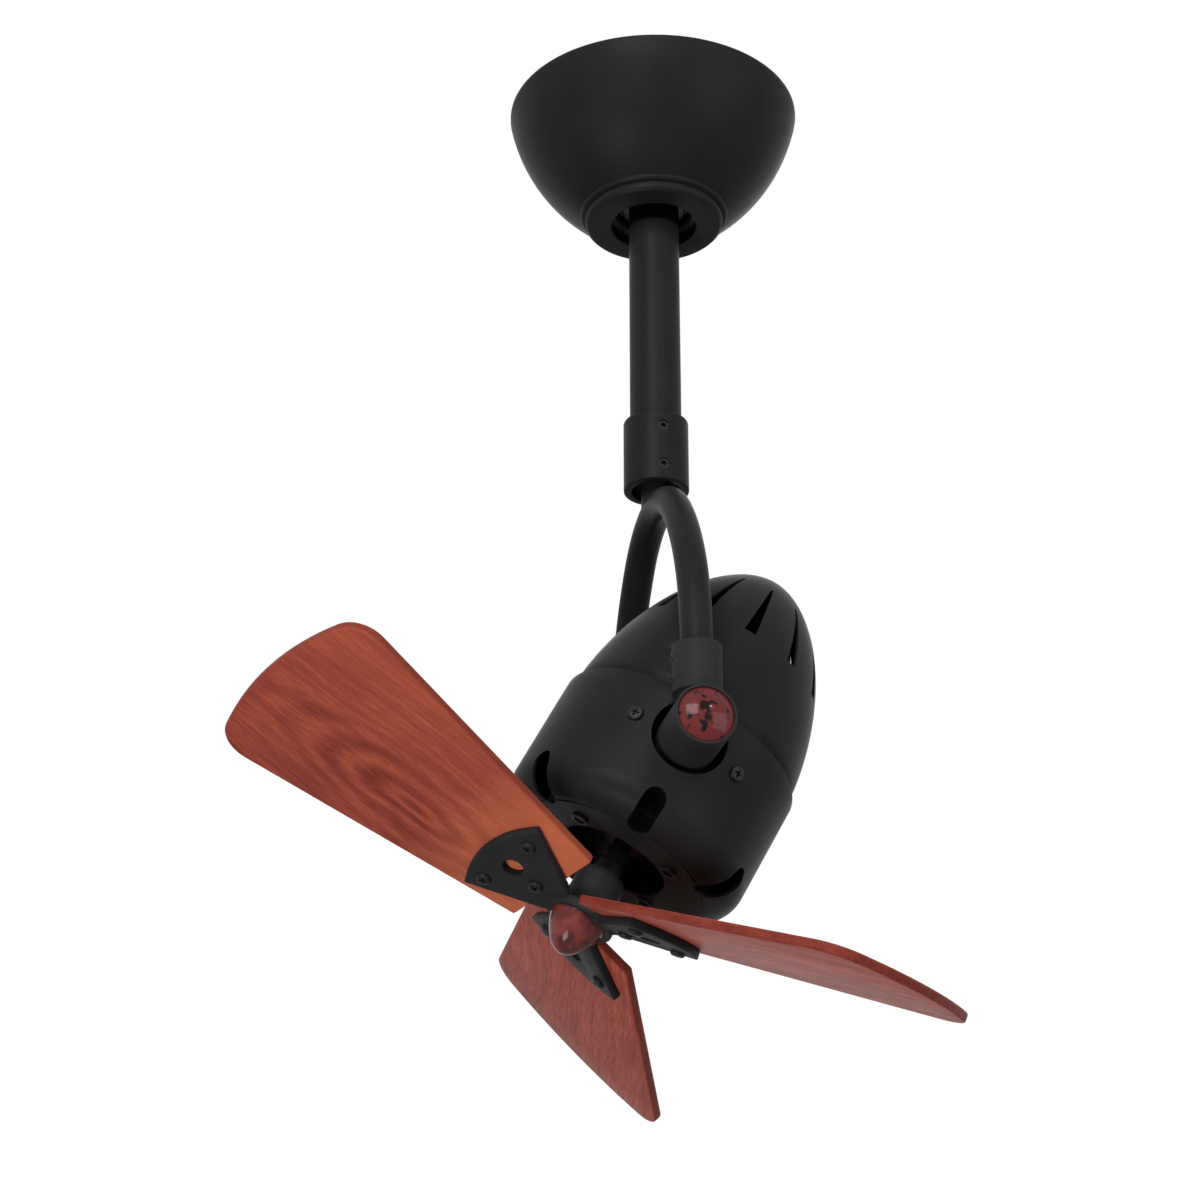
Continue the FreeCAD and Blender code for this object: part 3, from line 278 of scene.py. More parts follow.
def draw(name, points):
    """A new piece in edit mode that is one line of edges through points in millimetres."""
    bpy.ops.object.select_all(action="DESELECT")
    bpy.ops.mesh.primitive_plane_add(size=MM)
    piece = bpy.context.object
    piece.name = name
    piece.data.name = name
    bpy.ops.object.mode_set(mode="EDIT")
    bpy.ops.mesh.select_mode(type="VERT")
    bpy.ops.mesh.select_all(action="SELECT")
    bpy.ops.mesh.merge(type="CENTER")
    bpy.ops.transform.translate(value=Vector(points[0]) * MM)
    for here, there in zip(points, points[1:]):
        step = (Vector(there) - Vector(here)) * MM
        bpy.ops.mesh.extrude_region_move(TRANSFORM_OT_translate={"value": step})
    bpy.ops.mesh.select_all(action="SELECT")
    return piece


def close_up(piece):
    """Merges what meets, turns all faces outwards and leaves edit mode."""
    bpy.ops.mesh.select_all(action="SELECT")
    bpy.ops.mesh.remove_doubles(threshold=MERGE)
    bpy.ops.mesh.normals_make_consistent(inside=False)
    bpy.ops.object.mode_set(mode="OBJECT")
    return piece


def turned(name, profile, steps):
    """A solid turned about Z from a closed profile of (radius, height) points."""
    piece = draw(name, [(r, 0.0, z) for r, z in profile + profile[:1]])
    bpy.ops.mesh.spin(steps=steps, angle=2 * math.pi, center=(0, 0, 0), axis=(0, 0, 1))
    return close_up(piece)


def only(piece):
    """Makes a piece the one that operators act on."""
    bpy.ops.object.select_all(action="DESELECT")
    piece.select_set(True)
    bpy.context.view_layer.objects.active = piece


def fix(piece, place):
    """Moves a piece to a place and writes the place into its mesh."""
    only(piece)
    piece.matrix_world = place
    bpy.ops.object.transform_apply(location=True, rotation=True, scale=True)


def settle(piece, place, body, finish, nodes, crease=35.0):
    """Puts a finished piece in its place for good and ties it to the frame."""
    fix(piece, place)
    bpy.ops.object.shade_smooth_by_angle(angle=math.radians(crease))
    piece.data.materials.clear()
    piece.data.materials.append(finish)
    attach(piece, body)
    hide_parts(*nodes)


black_coat = worked_finish("black_powder_coat", COAT_TONES, COAT_WORK, specular=COAT_SPECULAR)
canopy_top = (CANOPY_R, CANOPY_RIM_Z)
bead_r = CANOPY_LIP[0] - CANOPY_BEAD
floor_z = CANOPY_FOOT_Z + CANOPY_WALL
outer_wall = arc_through(canopy_top, CANOPY_MID, CANOPY_LIP, 44)
inner_wall = arc_through(canopy_top, CANOPY_MID, CANOPY_LIP, 44, -CANOPY_WALL)[::-1]
rim_out = eased([
    (inner_wall[-1][0], 0.0, CANOPY_RIM_EDGE[0]), (CANOPY_R, 0.0, CANOPY_RIM_EDGE[1]),
    (CANOPY_R, CANOPY_RIM_Z, 0.0)])
bead_mid = (CANOPY_LIP[0] - 0.3 * CANOPY_BEAD, CANOPY_FOOT_Z + 0.4 * CANOPY_BEAD)
bead = arc_through(CANOPY_LIP, bead_mid, (bead_r, CANOPY_FOOT_Z), 6)
lip = [
    (CANOPY_HOLE_R, CANOPY_FOOT_Z), (CANOPY_HOLE_R, floor_z),
    (inner_wall[0][0] - CANOPY_WALL, floor_z)]
canopy_profile = rim_out[:-1] + outer_wall + bead[1:] + lip + inner_wall
canopy = turned("canopy_bowl", canopy_profile, CANOPY_SIDES)
settle(canopy, Matrix(), "mount", black_coat, ["canopy"])

# Trim ring: a turned ring under the canopy that screws onto the bearing housing and clamps the lip.
# Its edges are broken by the tool before it is sprayed black like the canopy.
RING_R = 39.3
RING_TOP_Z = -67.02
RING_LOW_Z = -72.6
RING_CHAMFER = 1.7
RING_HOLE_R = 24.4
RING_LEDGE_Z = -71.0
RING_NECK = (28.51, 31.89)
RING_NECK_TOP_Z = -58.0
RING_PLAY = 0.4
RING_SIDES = 128
housing_foot_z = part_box("bearing_housing")[0][2] / MM - RING_PLAY
ring_profile = eased([
    (RING_NECK[0], RING_NECK_TOP_Z, 0.3), (RING_NECK[1], RING_NECK_TOP_Z, 0.3),
    (RING_NECK[1], RING_TOP_Z, 0.0), (RING_R, RING_TOP_Z, 0.3),
    (RING_R, RING_LOW_Z + RING_CHAMFER, 0.6), (RING_R - RING_CHAMFER, RING_LOW_Z, 0.6),
    (RING_HOLE_R, RING_LOW_Z, 0.5),
    (RING_HOLE_R, RING_LEDGE_Z, 0.2), (RING_NECK[0], housing_foot_z, 0.0)])
trim_ring = turned("trim_ring_turned", ring_profile, RING_SIDES)
settle(trim_ring, Matrix(), "mount", black_coat, ["trim_ring"])

# Downrod and fork: a straight steel tube and a bent one, both CAD nodes as they are, coated like
# the canopy. The downrod carries a painted shadow of the ring over its coat: from a clean line just
# under the ring up through the ring and the bearings, the tube is painted near-black.
# Painted shadow of the ring on the downrod: where it starts, and its near-black tone.
ROD_SHADOW_EDGE = (-0.0757, -0.0751)
ROD_SHADOW_TONE = (0.0022, 0.0022, 0.0022, 1.0)

rod_coat_and_shadow = worked_finish("downrod_coat_and_shadow", COAT_TONES, COAT_WORK, specular=COAT_SPECULAR)
rod_tree = rod_coat_and_shadow.node_tree
rod_colour = rod_tree.nodes["Principled BSDF"].inputs["Base Color"]
rod_place = added(rod_tree, "TexCoord", {})
rod_axes = added(rod_tree, "SeparateXYZ", {"Vector": rod_place.outputs["Object"]})
# Mask of the painted shadow: 0 below the line under the ring, 1 above it.
rod_shadow_band = added(rod_tree, "MapRange", {
    "Value": rod_axes.outputs["Z"], "From Min": ROD_SHADOW_EDGE[0], "From Max": ROD_SHADOW_EDGE[1]})
rod_shadow_mix = added(rod_tree, "Mix", {
    "Factor": rod_shadow_band.outputs["Result"], "A": rod_colour.links[0].from_socket,
    "B": ROD_SHADOW_TONE}, data_type="RGBA")
rod_tree.links.new(rod_shadow_mix.outputs["Result"], rod_colour)
dress(rod_coat_and_shadow, "downrod")
dress(black_coat, "fork")

# Coupling: a short turned sleeve that joins the downrod to the fork's stub, with two hexagon socket
# set screws sunk in its side. The sleeve is sprayed black and the screws are blackened steel.
COUPLING_R = 17.9
COUPLING_TOP_Z = -200.8
COUPLING_LOW_Z = -242.4
COUPLING_BORE_R = 14.27
COUPLING_RECESS_R = 13.6
COUPLING_RECESS_Z = -237.4
COUPLING_STUB_R = 8.42
COUPLING_SEAT_Z = -225.0
COUPLING_STUB_Z = -229.4
COUPLING_EDGE = 0.8
SET_SCREWS = (("coupling_screw_1", -210.0, 14.33), ("coupling_screw_2", -233.2, 8.48))
SET_SCREW_R = 3.2
SET_SCREW_SUNK = 0.6
SET_SCREW_KEY_R = 1.75
SET_SCREW_KEY_DEEP = 1.9
SET_SCREW_DEEP = 30.0
HOLE_PLAY = 0.05
COUPLING_STEP = 3.6
COUPLING_SIDES = 96
BLACKENED_TONES = ((0.0080, 0.0080, 0.0084, 1.0), (0.0130, 0.0130, 0.0133, 1.0))
BLACKENED_WORK = ((0.34, 0.46), 1600.0, 220.0, 0.00002)
BLACKENED_SPECULAR = 0.16


def cut_away(piece, cutter, operation="DIFFERENCE"):
    """Cuts a piece with another, or joins them to one solid, and clears the other away."""
    only(piece)
    change = piece.modifiers.new("cut", "BOOLEAN")
    change.operation = operation
    change.solver = "EXACT"
    change.object = cutter
    bpy.ops.object.modifier_apply(modifier=change.name)
    used = cutter.data
    bpy.data.objects.remove(cutter)
    bpy.data.meshes.remove(used)


def bar(name, radius, length, place, sides=40):
    """A round or hexagonal bar from the origin of a place along its Z, for cutting."""
    bpy.ops.object.select_all(action="DESELECT")
    bpy.ops.mesh.primitive_cylinder_add(vertices=sides, radius=radius * MM, depth=length * MM)
    piece = bpy.context.object
    piece.name = name
    fix(piece, place @ Matrix.Translation((0, 0, length * MM / 2)))
    return piece


blackened = worked_finish(
    "blackened_steel", BLACKENED_TONES, BLACKENED_WORK, specular=BLACKENED_SPECULAR)

step_r = COUPLING_STUB_R + COUPLING_STEP
coupling_profile = eased([
    (COUPLING_BORE_R, COUPLING_TOP_Z, 0.3), (COUPLING_R, COUPLING_TOP_Z, COUPLING_EDGE),
    (COUPLING_R, COUPLING_LOW_Z, COUPLING_EDGE), (COUPLING_RECESS_R, COUPLING_LOW_Z, 0.4),
    (COUPLING_RECESS_R, COUPLING_RECESS_Z, 0.3), (COUPLING_STUB_R, COUPLING_RECESS_Z, 0.2),
    (COUPLING_STUB_R, COUPLING_STUB_Z, 0.0), (step_r, COUPLING_STUB_Z, 0.0),
    (step_r, COUPLING_SEAT_Z, 0.0), (COUPLING_BORE_R, COUPLING_SEAT_Z, 0.0)])
coupling = turned("coupling_sleeve", coupling_profile, COUPLING_SIDES)
across = Matrix.Rotation(math.radians(90), 4, "Y")
for _, z, _ in SET_SCREWS:
    hole_place = Matrix.Translation((0, 0, z * MM)) @ across
    cut_away(coupling, bar("set_screw_hole", SET_SCREW_R + HOLE_PLAY, SET_SCREW_DEEP, hole_place))
settle(coupling, Matrix(), "swing", black_coat, ["coupling"])

for node, z, foot in SET_SCREWS:
    top = COUPLING_R - SET_SCREW_SUNK - foot
    screw_profile = eased([(0, 0, 0), (SET_SCREW_R, 0, 0.4), (SET_SCREW_R, top, 0.5), (0, top, 0)])
    screw = turned(node + "_grub", screw_profile, 40)
    key_place = Matrix.Translation((0, 0, (top - SET_SCREW_KEY_DEEP) * MM))
    cut_away(screw, bar("set_screw_key", SET_SCREW_KEY_R, 2 * SET_SCREW_KEY_DEEP, key_place, 6))
    place = Matrix.Translation((foot * MM, 0, z * MM)) @ across
    settle(screw, place, "swing", blackened, [node])

# Foot castings: at the end of each fork arm a socket, a short neck and a round boss in one casting.
# The arm's tube is held in the socket by two small set screws, and the boss carries the tilt bolt.
ARM_X = 80.25
SLEEVE_R = 12.8
SLEEVE_TOP_Z = -367.16
SLEEVE_LOW_Z = -393.16
SLEEVE_BORE_R = 8.42
SLEEVE_FLOOR = 3.0
NECK_R = 9.6
BOSS_R = 15.8
BOSS_INNER_X = 50.9
BOSS_END_X = 97.5
BOSS_RIM = 1.5
BOSS_WELL_R = 8.4
BOSS_WELL_H = 6.2
BOLT_BORE_R = 5.04
CAP_DEPTH = 4.0
FOOT_SCREW_R = 2.4
FOOT_SCREW_EDGE = 7.2
FOOT_SCREW_PROUD = 0.4
FOOT_SCREW_DEEP = 20.0
FOOT_SCREW_GAP = 0.04
GRUB_KEY_SHARE = 0.55
GRUB_KEY_DEEP = 1.5
NECK_OVERLAP = 2.0
CASTING_TONES = ((0.0220, 0.0220, 0.0223, 1.0), (0.0275, 0.0275, 0.0277, 1.0))
CASTING_WORK = ((0.50, 0.60), 1500.0, 60.0, 0.00009)

joints = {joint["name"]: joint for joint in frame["record"]["behaviour"]["joints"]}
tilt_place = Vector(joints["head_tilt"]["pos_m"])
tilt_z = tilt_place.z / MM
foot_screw_z = {"upper": SLEEVE_TOP_Z - FOOT_SCREW_EDGE, "lower": SLEEVE_LOW_Z + FOOT_SCREW_EDGE}
upright = Matrix.Rotation(math.radians(90), 4, "X")
mirrored = Matrix.Scale(-1, 4, (1, 0, 0))
black_casting = worked_finish("black_casting", CASTING_TONES, CASTING_WORK, specular=COAT_SPECULAR)


def foot_casting():
    """The casting at the +X arm, in its own place."""
    socket = eased([
        (0, SLEEVE_LOW_Z + SLEEVE_FLOOR, 0), (SLEEVE_BORE_R, SLEEVE_LOW_Z + SLEEVE_FLOOR, 0),
        (SLEEVE_BORE_R, SLEEVE_TOP_Z, 0.3), (SLEEVE_R, SLEEVE_TOP_Z, 0.9),
        (SLEEVE_R, SLEEVE_LOW_Z, 0.9), (NECK_R, SLEEVE_LOW_Z, 1.0),
        (NECK_R, tilt_z, 0), (0, tilt_z, 0)])
    piece = turned("foot_casting", socket, 72)
    fix(piece, Matrix.Translation((ARM_X * MM, 0, 0)))
    floor_x = BOSS_END_X - CAP_DEPTH
    well_x = floor_x - BOSS_WELL_H
    profile = eased([
        (BOLT_BORE_R, BOSS_INNER_X, 0.3), (BOSS_R, BOSS_INNER_X, 0.8), (BOSS_R, BOSS_END_X, 0.7),
        (BOSS_R - BOSS_RIM, BOSS_END_X, 0.5), (BOSS_R - BOSS_RIM, floor_x, 0),
        (BOSS_WELL_R, floor_x, 0), (BOSS_WELL_R, well_x, 0), (BOLT_BORE_R, well_x, 0)])
    boss = turned("foot_boss", profile, 96)
    fix(boss, Matrix.Translation((0, 0, tilt_place.z)) @ across)
    stem_x = BOSS_INNER_X + NECK_OVERLAP / 2
    stem_place = Matrix.Translation((stem_x * MM, 0, tilt_place.z)) @ across
    stem_len = well_x - BOSS_INNER_X - NECK_OVERLAP
    cut_away(piece, bar("neck_end", BOSS_R - NECK_OVERLAP, stem_len, stem_place))
    cut_away(piece, boss, "UNION")
    for z in foot_screw_z.values():
        hole = Matrix.Translation((ARM_X * MM, 0, z * MM)) @ upright
        cut_away(piece, bar("foot_screw_hole", FOOT_SCREW_R + HOLE_PLAY, FOOT_SCREW_DEEP, hole, 32))
    return piece


def twin(piece, name):
    """A copy of a piece with a mesh of its own."""
    other = piece.copy()
    other.data = piece.data.copy()
    other.name = name
    other.data.name = name
    scene.collection.objects.link(other)
    return other


def face_out(piece):
    """Turns all faces of a mirrored piece outwards again."""
    bpy.ops.object.mode_set(mode="EDIT")
    bpy.ops.mesh.select_all(action="SELECT")
    bpy.ops.mesh.normals_make_consistent(inside=False)
    bpy.ops.object.mode_set(mode="OBJECT")


def grub(name, radius, length):
    """A small socket set screw that stands on the origin."""
    profile = eased([(0, 0, 0), (radius, 0, 0.3), (radius, length, 0.4), (0, length, 0)])
    piece = turned(name, profile, 32)
    key_place = Matrix.Translation((0, 0, (length - GRUB_KEY_DEEP) * MM))
    cut_away(piece, bar("grub_key", GRUB_KEY_SHARE * radius, 2 * GRUB_KEY_DEEP, key_place, 6))
    return piece


foot_near = foot_casting()
foot_near.name = "foot_casting_near"
foot_far = twin(foot_near, "foot_casting_far")
settle(foot_near, Matrix(), "swing", black_casting, ["foot_near"])
settle(foot_far, mirrored, "swing", black_casting, ["foot_far"])
face_out(foot_far)

grub_foot = SLEEVE_BORE_R + FOOT_SCREW_GAP
first_grub = grub("foot_grub", FOOT_SCREW_R, SLEEVE_R + FOOT_SCREW_PROUD - grub_foot)
for side, word in ((1, "near"), (-1, "far")):
    for level_word, z in foot_screw_z.items():
        node = "foot_screw_%s_%s" % (level_word, word)
        place = Matrix.Translation((side * ARM_X * MM, -grub_foot * MM, z * MM)) @ upright
        settle(twin(first_grub, node + "_grub"), place, "swing", blackened, [node])
bpy.data.objects.remove(first_grub)

# Boss caps: a domed plug pressed into the end of each boss, turned from a marbled red and black
# resin and polished. Dark clouds gather in the middle and the surface is wet-looking.
CAP_R = 14.28
CAP_RISE = 5.0
CAP_SUNK = 1.2
CAP_EDGE = 0.4
CAP_CREASE = 50.0
CAP_DARK = (0.006, 0.004, 0.004, 1.0)
CAP_RED = (0.130, 0.022, 0.021, 1.0)
CAP_PALE = (0.26, 0.075, 0.068, 1.0)
CAP_MARBLE = (230.0, 110.0, (0.375, 0.455), (1.2, 2.2))
RESIN_GATHER = (-0.10, 0.07)
RESIN_ROUGH = (0.10, 0.16)
RESIN_SPECULAR = 0.14

marbling, marbling_in, marbling_out = surface_group(
    "marbling", (("Blotch", 90.0), ("Vein", 150.0)), ("Blotch", "Vein"))
marbling_place = added(marbling, "TexCoord", {}).outputs["Object"]
marbling_blotch = added(marbling, "TexNoise", {
    "Vector": marbling_place, "Scale": marbling_in.outputs["Blotch"],
    "Detail": 5.0, "Distortion": 0.5})
marbling_vein = added(marbling, "TexNoise", {
    "Vector": marbling_place, "Scale": marbling_in.outputs["Vein"],
    "Detail": 4.0, "Distortion": 0.8}, noise_type="RIDGED_MULTIFRACTAL")
fed(marbling, marbling_out, {
    "Blotch": marbling_blotch.outputs["Fac"], "Vein": marbling_vein.outputs["Fac"]})


def marbled_finish(name, tones, marble_sizes, middle, spread):
    """Polished resin: dark specks that gather round a middle on red, and pale veins."""
    finish, tree, shader = new_finish(name)
    dark, red, pale_vein = tones
    blotch_size, vein_size, cover, vein_share = marble_sizes
    marble = added(tree, "Group", {"Blotch": blotch_size, "Vein": vein_size}, node_tree=marbling)
    blotch = marble.outputs["Blotch"]
    place = added(tree, "TexCoord", {})
    off = added(tree, "VectorMath", {0: place.outputs["Object"], 1: middle}, operation="DISTANCE")
    out = added(tree, "MapRange", {
        "Value": off.outputs["Value"], "From Max": spread,
        "To Min": RESIN_GATHER[0], "To Max": RESIN_GATHER[1]})
    shifted = added(tree, "Math", {0: blotch, 1: out.outputs["Result"]})
    body = added(tree, "ValToRGB", {"Fac": shifted.outputs[0]})
    for stop, position, tone in zip(body.color_ramp.elements, cover, (dark, red)):
        stop.position, stop.color = position, tone
    veins = added(tree, "MapRange", {
        "Value": marble.outputs["Vein"], "From Min": vein_share[0], "From Max": vein_share[1]})
    mix = added(tree, "Mix", {
        "Factor": veins.outputs["Result"], "A": body.outputs["Color"], "B": pale_vein},
        data_type="RGBA")
    gloss = added(tree, "MapRange", {
        "Value": blotch, "To Min": RESIN_ROUGH[0], "To Max": RESIN_ROUGH[1]})
    fed(tree, shader, {
        "Base Color": mix.outputs["Result"], "Roughness": gloss.outputs["Result"],
        "Specular IOR Level": RESIN_SPECULAR})
    return finish


cap_foot = BOSS_END_X - CAP_DEPTH
cap_edge = BOSS_END_X - CAP_SUNK
cap_top = cap_edge + CAP_RISE
cap_tones = (CAP_DARK, CAP_RED, CAP_PALE)
cap_middle, far_middle = ((x * MM, 0.0, tilt_place.z) for x in (cap_top, -cap_top))
cap_resin = marbled_finish("marbled_cap_resin", cap_tones, CAP_MARBLE, cap_middle, CAP_R * MM)
far_resin = marbled_finish("marbled_far_resin", cap_tones, CAP_MARBLE, far_middle, CAP_R * MM)
cap_half = math.asin(2 * CAP_R * CAP_RISE / (CAP_R ** 2 + CAP_RISE ** 2))
cap_ball = CAP_R / math.sin(cap_half)
dome_turns = [cap_half * k / 16 for k in range(17)]
dome_line = [(cap_ball * math.sin(t), cap_top - cap_ball * (1 - math.cos(t))) for t in dome_turns]
cap_line = dome_line + [(CAP_R, cap_foot + CAP_EDGE), (CAP_R - CAP_EDGE, cap_foot), (0.0, cap_foot)]
cap = turned("boss_cap_dome", cap_line, 72)
cap_far = twin(cap, "boss_cap_dome_far")
cap_place = Matrix.Translation((0, 0, tilt_place.z)) @ across
settle(cap, cap_place, "swing", cap_resin, ["boss_cap_near"], CAP_CREASE)
far_place = mirrored @ cap_place
settle(cap_far, far_place, "swing", far_resin, ["boss_cap_far"], CAP_CREASE)
face_out(cap_far)

# Front bowl: a steel drum spun with a rolled corner and a flat face, punched with six oval vents
# that wrap round the corner and a large hole for each boss. The flat face stands a little proud of
# the corner.
DRUM_R = 66.6
DRUM_WALL = 1.6
DRUM_SEAM_S = -21.3
DRUM_SEAM_EDGE = 0.7
DRUM_CORNER_R = 16.4
DRUM_FACE_S = 51.7
DRUM_FACE_PROUD = 0.5
DRUM_FACE_HOLE_R = 29.3
DRUM_BOSS_HOLE_R = 19.8
VENT_W = 12.0
VENT_LEN = 27.0
VENT_COUNT = 6
HEAD_SIDES = 192
HEAD_CREASE = 32.0

spin_axis = Vector(joints["fan_spin"]["axis"])
head_turn = math.atan2(-spin_axis.y, spin_axis.z)
head = Matrix.Translation(tilt_place) @ Matrix.Rotation(head_turn, 4, "X")


def pick(piece, test):
    """Selects the vertices of a piece in edit mode whose place passes a test."""
    bpy.ops.mesh.select_all(action="DESELECT")
    bpy.ops.object.mode_set(mode="OBJECT")
    for vertex in piece.data.vertices:
        vertex.select = test(vertex.co)
    bpy.ops.object.mode_set(mode="EDIT")


def gather(pieces, name):
    """Joins several objects to one."""
    bpy.ops.object.select_all(action="DESELECT")
    for piece in pieces:
        piece.select_set(True)
    bpy.context.view_layer.objects.active = pieces[0]
    bpy.ops.object.join()
    pieces[0].name = name
    return pieces[0]


corner_r, corner_s = DRUM_R - DRUM_CORNER_R, DRUM_FACE_S - DRUM_CORNER_R
skew = math.sqrt(0.5) * DRUM_CORNER_R
skew_in = math.sqrt(0.5) * (DRUM_CORNER_R - DRUM_WALL)
inner_r, face_in = DRUM_R - DRUM_WALL, DRUM_FACE_S - DRUM_WALL
corner_top = DRUM_FACE_S - DRUM_FACE_PROUD
corner_out = arc_through(
    (DRUM_R, corner_s), (corner_r + skew, corner_s + skew), (corner_r, corner_top), 28)
corner_in = arc_through(
    (corner_r, face_in), (corner_r + skew_in, corner_s + skew_in), (inner_r, corner_s), 28)
wall_s = [DRUM_SEAM_S + (corner_s - DRUM_SEAM_S) * k / 8 for k in range(1, 8)]
bowl_profile = [
    (inner_r, DRUM_SEAM_S + 0.5), (inner_r + 0.4, DRUM_SEAM_S),
    (DRUM_R - DRUM_SEAM_EDGE, DRUM_SEAM_S),
    (DRUM_R - 0.3 * DRUM_SEAM_EDGE, DRUM_SEAM_S + 0.4 * DRUM_SEAM_EDGE),
    (DRUM_R, DRUM_SEAM_S + 1.4 * DRUM_SEAM_EDGE)]
bowl_profile += [(DRUM_R, along) for along in wall_s] + corner_out
bowl_profile += [
    (corner_r - 0.05, DRUM_FACE_S - 0.1), (corner_r - 0.2, DRUM_FACE_S),
    (DRUM_FACE_HOLE_R + 0.4, DRUM_FACE_S), (DRUM_FACE_HOLE_R, DRUM_FACE_S - 0.4),
    (DRUM_FACE_HOLE_R, face_in)]
bowl_profile += corner_in + [(inner_r, along) for along in wall_s[::-1]]
bowl = turned("front_bowl_drum", bowl_profile, HEAD_SIDES)

vent_turn = Matrix.Rotation(math.radians(45), 4, "Y")
vent_place = Matrix.Translation(((corner_r + skew) * MM, 0, (corner_s + skew) * MM)) @ vent_turn
vent_start = Matrix.Translation((0, 0, -DRUM_CORNER_R * MM))
boss_start = Matrix.Translation((-2 * DRUM_R * MM, 0, 0)) @ across
cutters = [bar("boss_holes", DRUM_BOSS_HOLE_R, 4 * DRUM_R, boss_start, 96)]
for k in range(VENT_COUNT):
    vent = bar("vent", VENT_W / 2, 2 * DRUM_CORNER_R, vent_start, 50)
    bpy.ops.object.mode_set(mode="EDIT")
    pull = (VENT_LEN - VENT_W) / 2 * MM
    pick(vent, lambda place: place.x > 0)
    bpy.ops.transform.translate(value=(pull, 0, 0))
    pick(vent, lambda place: place.x < 0)
    bpy.ops.transform.translate(value=(-pull, 0, 0))
    bpy.ops.object.mode_set(mode="OBJECT")
    fix(vent, Matrix.Rotation(2 * math.pi * k / VENT_COUNT, 4, "Z") @ vent_place)
    cutters.append(vent)
cut_away(bowl, gather(cutters, "bowl_cutters"))
settle(bowl, head, "head", black_coat, ["front_bowl"], HEAD_CREASE)

# Rear dome: an egg-shaped shell pressed from steel that slides into the open end of the drum.
# Twelve tapered cooling slots run up it towards its tip, square at their wide ends.
DOME_R = 63.9
DOME_WALL = 1.6
DOME_LEN = 111.8
DOME_SKIRT = 28.0
DOME_GROOVE = (0.9, 2.3)
DOME_ROUND = (1.75, 0.56)
DOME_SLOT_S = (-74.3, -114.0)
DOME_SLOT_HALF = (3.3, 0.6)
DOME_SLOT_COUNT = 12
DOME_SLOT_START_R = 20.0
DOME_CROWD = 2.2


def prism(name, outline, step):
    """A solid in edit mode: a flat closed outline drawn, filled and extruded by a step."""
    piece = draw(name, outline + outline[:1])
    bpy.ops.mesh.remove_doubles(threshold=MERGE)
    bpy.ops.mesh.edge_face_add()
    bpy.ops.mesh.extrude_region_move(TRANSFORM_OT_translate={"value": Vector(step) * MM})
    return piece


def egg(radius, length, count):
    """The dome's outline from the seam to its tip, closer together near the tip."""
    line = []
    for k in range(count + 1):
        q = 1 - (1 - k / count) ** DOME_CROWD
        swell = (1 - q ** DOME_ROUND[0]) ** DOME_ROUND[1]
        line.append((radius * swell, DRUM_SEAM_S - q * length))
    return line


skirt_s = DRUM_SEAM_S + DOME_SKIRT
outer_egg = egg(DOME_R, DOME_LEN, 60)
inner_egg = egg(DOME_R - DOME_WALL, DOME_LEN - DOME_WALL, 60)
groove_r, groove_s = DOME_R - DOME_GROOVE[0], DRUM_SEAM_S - DOME_GROOVE[1]
dome_profile = [
    (DOME_R - DOME_WALL, skirt_s), (DOME_R, skirt_s), (DOME_R, DRUM_SEAM_S),
    (groove_r, DRUM_SEAM_S - 0.2), (groove_r, groove_s + 0.3)]
dome_profile += [(r, along) for r, along in outer_egg if along < groove_s] + inner_egg[::-1]
dome = turned("rear_dome_shell", dome_profile, HEAD_SIDES)
(wide, narrow), (wide_s, narrow_s) = DOME_SLOT_HALF, DOME_SLOT_S
slot_corners = ((-wide, wide_s), (wide, wide_s), (narrow, narrow_s), (-narrow, narrow_s))
slot_outline = [(DOME_SLOT_START_R, side, along) for side, along in slot_corners]
cutters = [bar("boss_holes", DRUM_BOSS_HOLE_R, 4 * DRUM_R, boss_start, 96)]
for k in range(DOME_SLOT_COUNT):
    slot = close_up(prism("dome_slot", slot_outline, (DOME_R, 0, 0)))
    fix(slot, Matrix.Rotation(2 * math.pi * k / DOME_SLOT_COUNT, 4, "Z"))
    cutters.append(slot)
cut_away(dome, gather(cutters, "dome_cutters"))
settle(dome, head, "head", black_coat, ["rear_dome"], HEAD_CREASE)

# Head screws: four pan heads with a cross recess hold the bowl to the motor's frame from the side,
# and four socket heads hold its face. All are blackened steel.
SIDE_SCREW_DEG = (26.0, -26.0, 154.0, 206.0)
SIDE_SCREW_S = 2.0
SIDE_SCREW_R, SIDE_SCREW_H = 4.2, 1.8
FACE_SCREW_DEG = (45.0, 135.0, 225.0, 315.0)
FACE_SCREW_RING_R = 36.5
FACE_SCREW_R, FACE_SCREW_H = 4.4, 1.2
SHANK_R = 1.9
SHANK_LEN = 7.0
SCREW_CROWN = {"cross": 0.85, "hexagon": 0.3}
CROSS_ARM, CROSS_HALF, CROSS_DEEP, CROSS_TAPER = 0.58, 0.13, 0.75, 0.45
HEXAGON_R, HEXAGON_FLOOR = 0.74, 0.4
KEY_CLEAR = 0.2


def headed_screw(name, radius, height, key):
    """A screw with its head on the origin: a rounded head with a recess, and a shank below."""
    profile = eased([
        (0, height, 0), (radius, height, SCREW_CROWN[key] * height), (radius, 0, 0.15),
        (SHANK_R, 0, 0), (SHANK_R, -SHANK_LEN, 0.4), (0, -SHANK_LEN, 0)], 6)
    piece = turned(name, profile, 48)
    if key == "cross":
        arm, half = CROSS_ARM * radius, CROSS_HALF * radius
        arms = [(arm, -half), (arm, half), (half, half), (half, arm), (-half, arm), (-half, half)]
        arms += [(-x, -y) for x, y in arms]
        outline = [(x, y, height + KEY_CLEAR) for x, y in arms]
        cutter = prism("cross_key", outline, (0, 0, -(CROSS_DEEP * height + KEY_CLEAR)))
        bpy.ops.transform.resize(value=(CROSS_TAPER, CROSS_TAPER, 1.0))
        close_up(cutter)
    else:
        floor_place = Matrix.Translation((0, 0, HEXAGON_FLOOR * height * MM))
        cutter = bar("hexagon_key", HEXAGON_R * radius, height, floor_place, 6)
    cut_away(piece, cutter)
    return piece


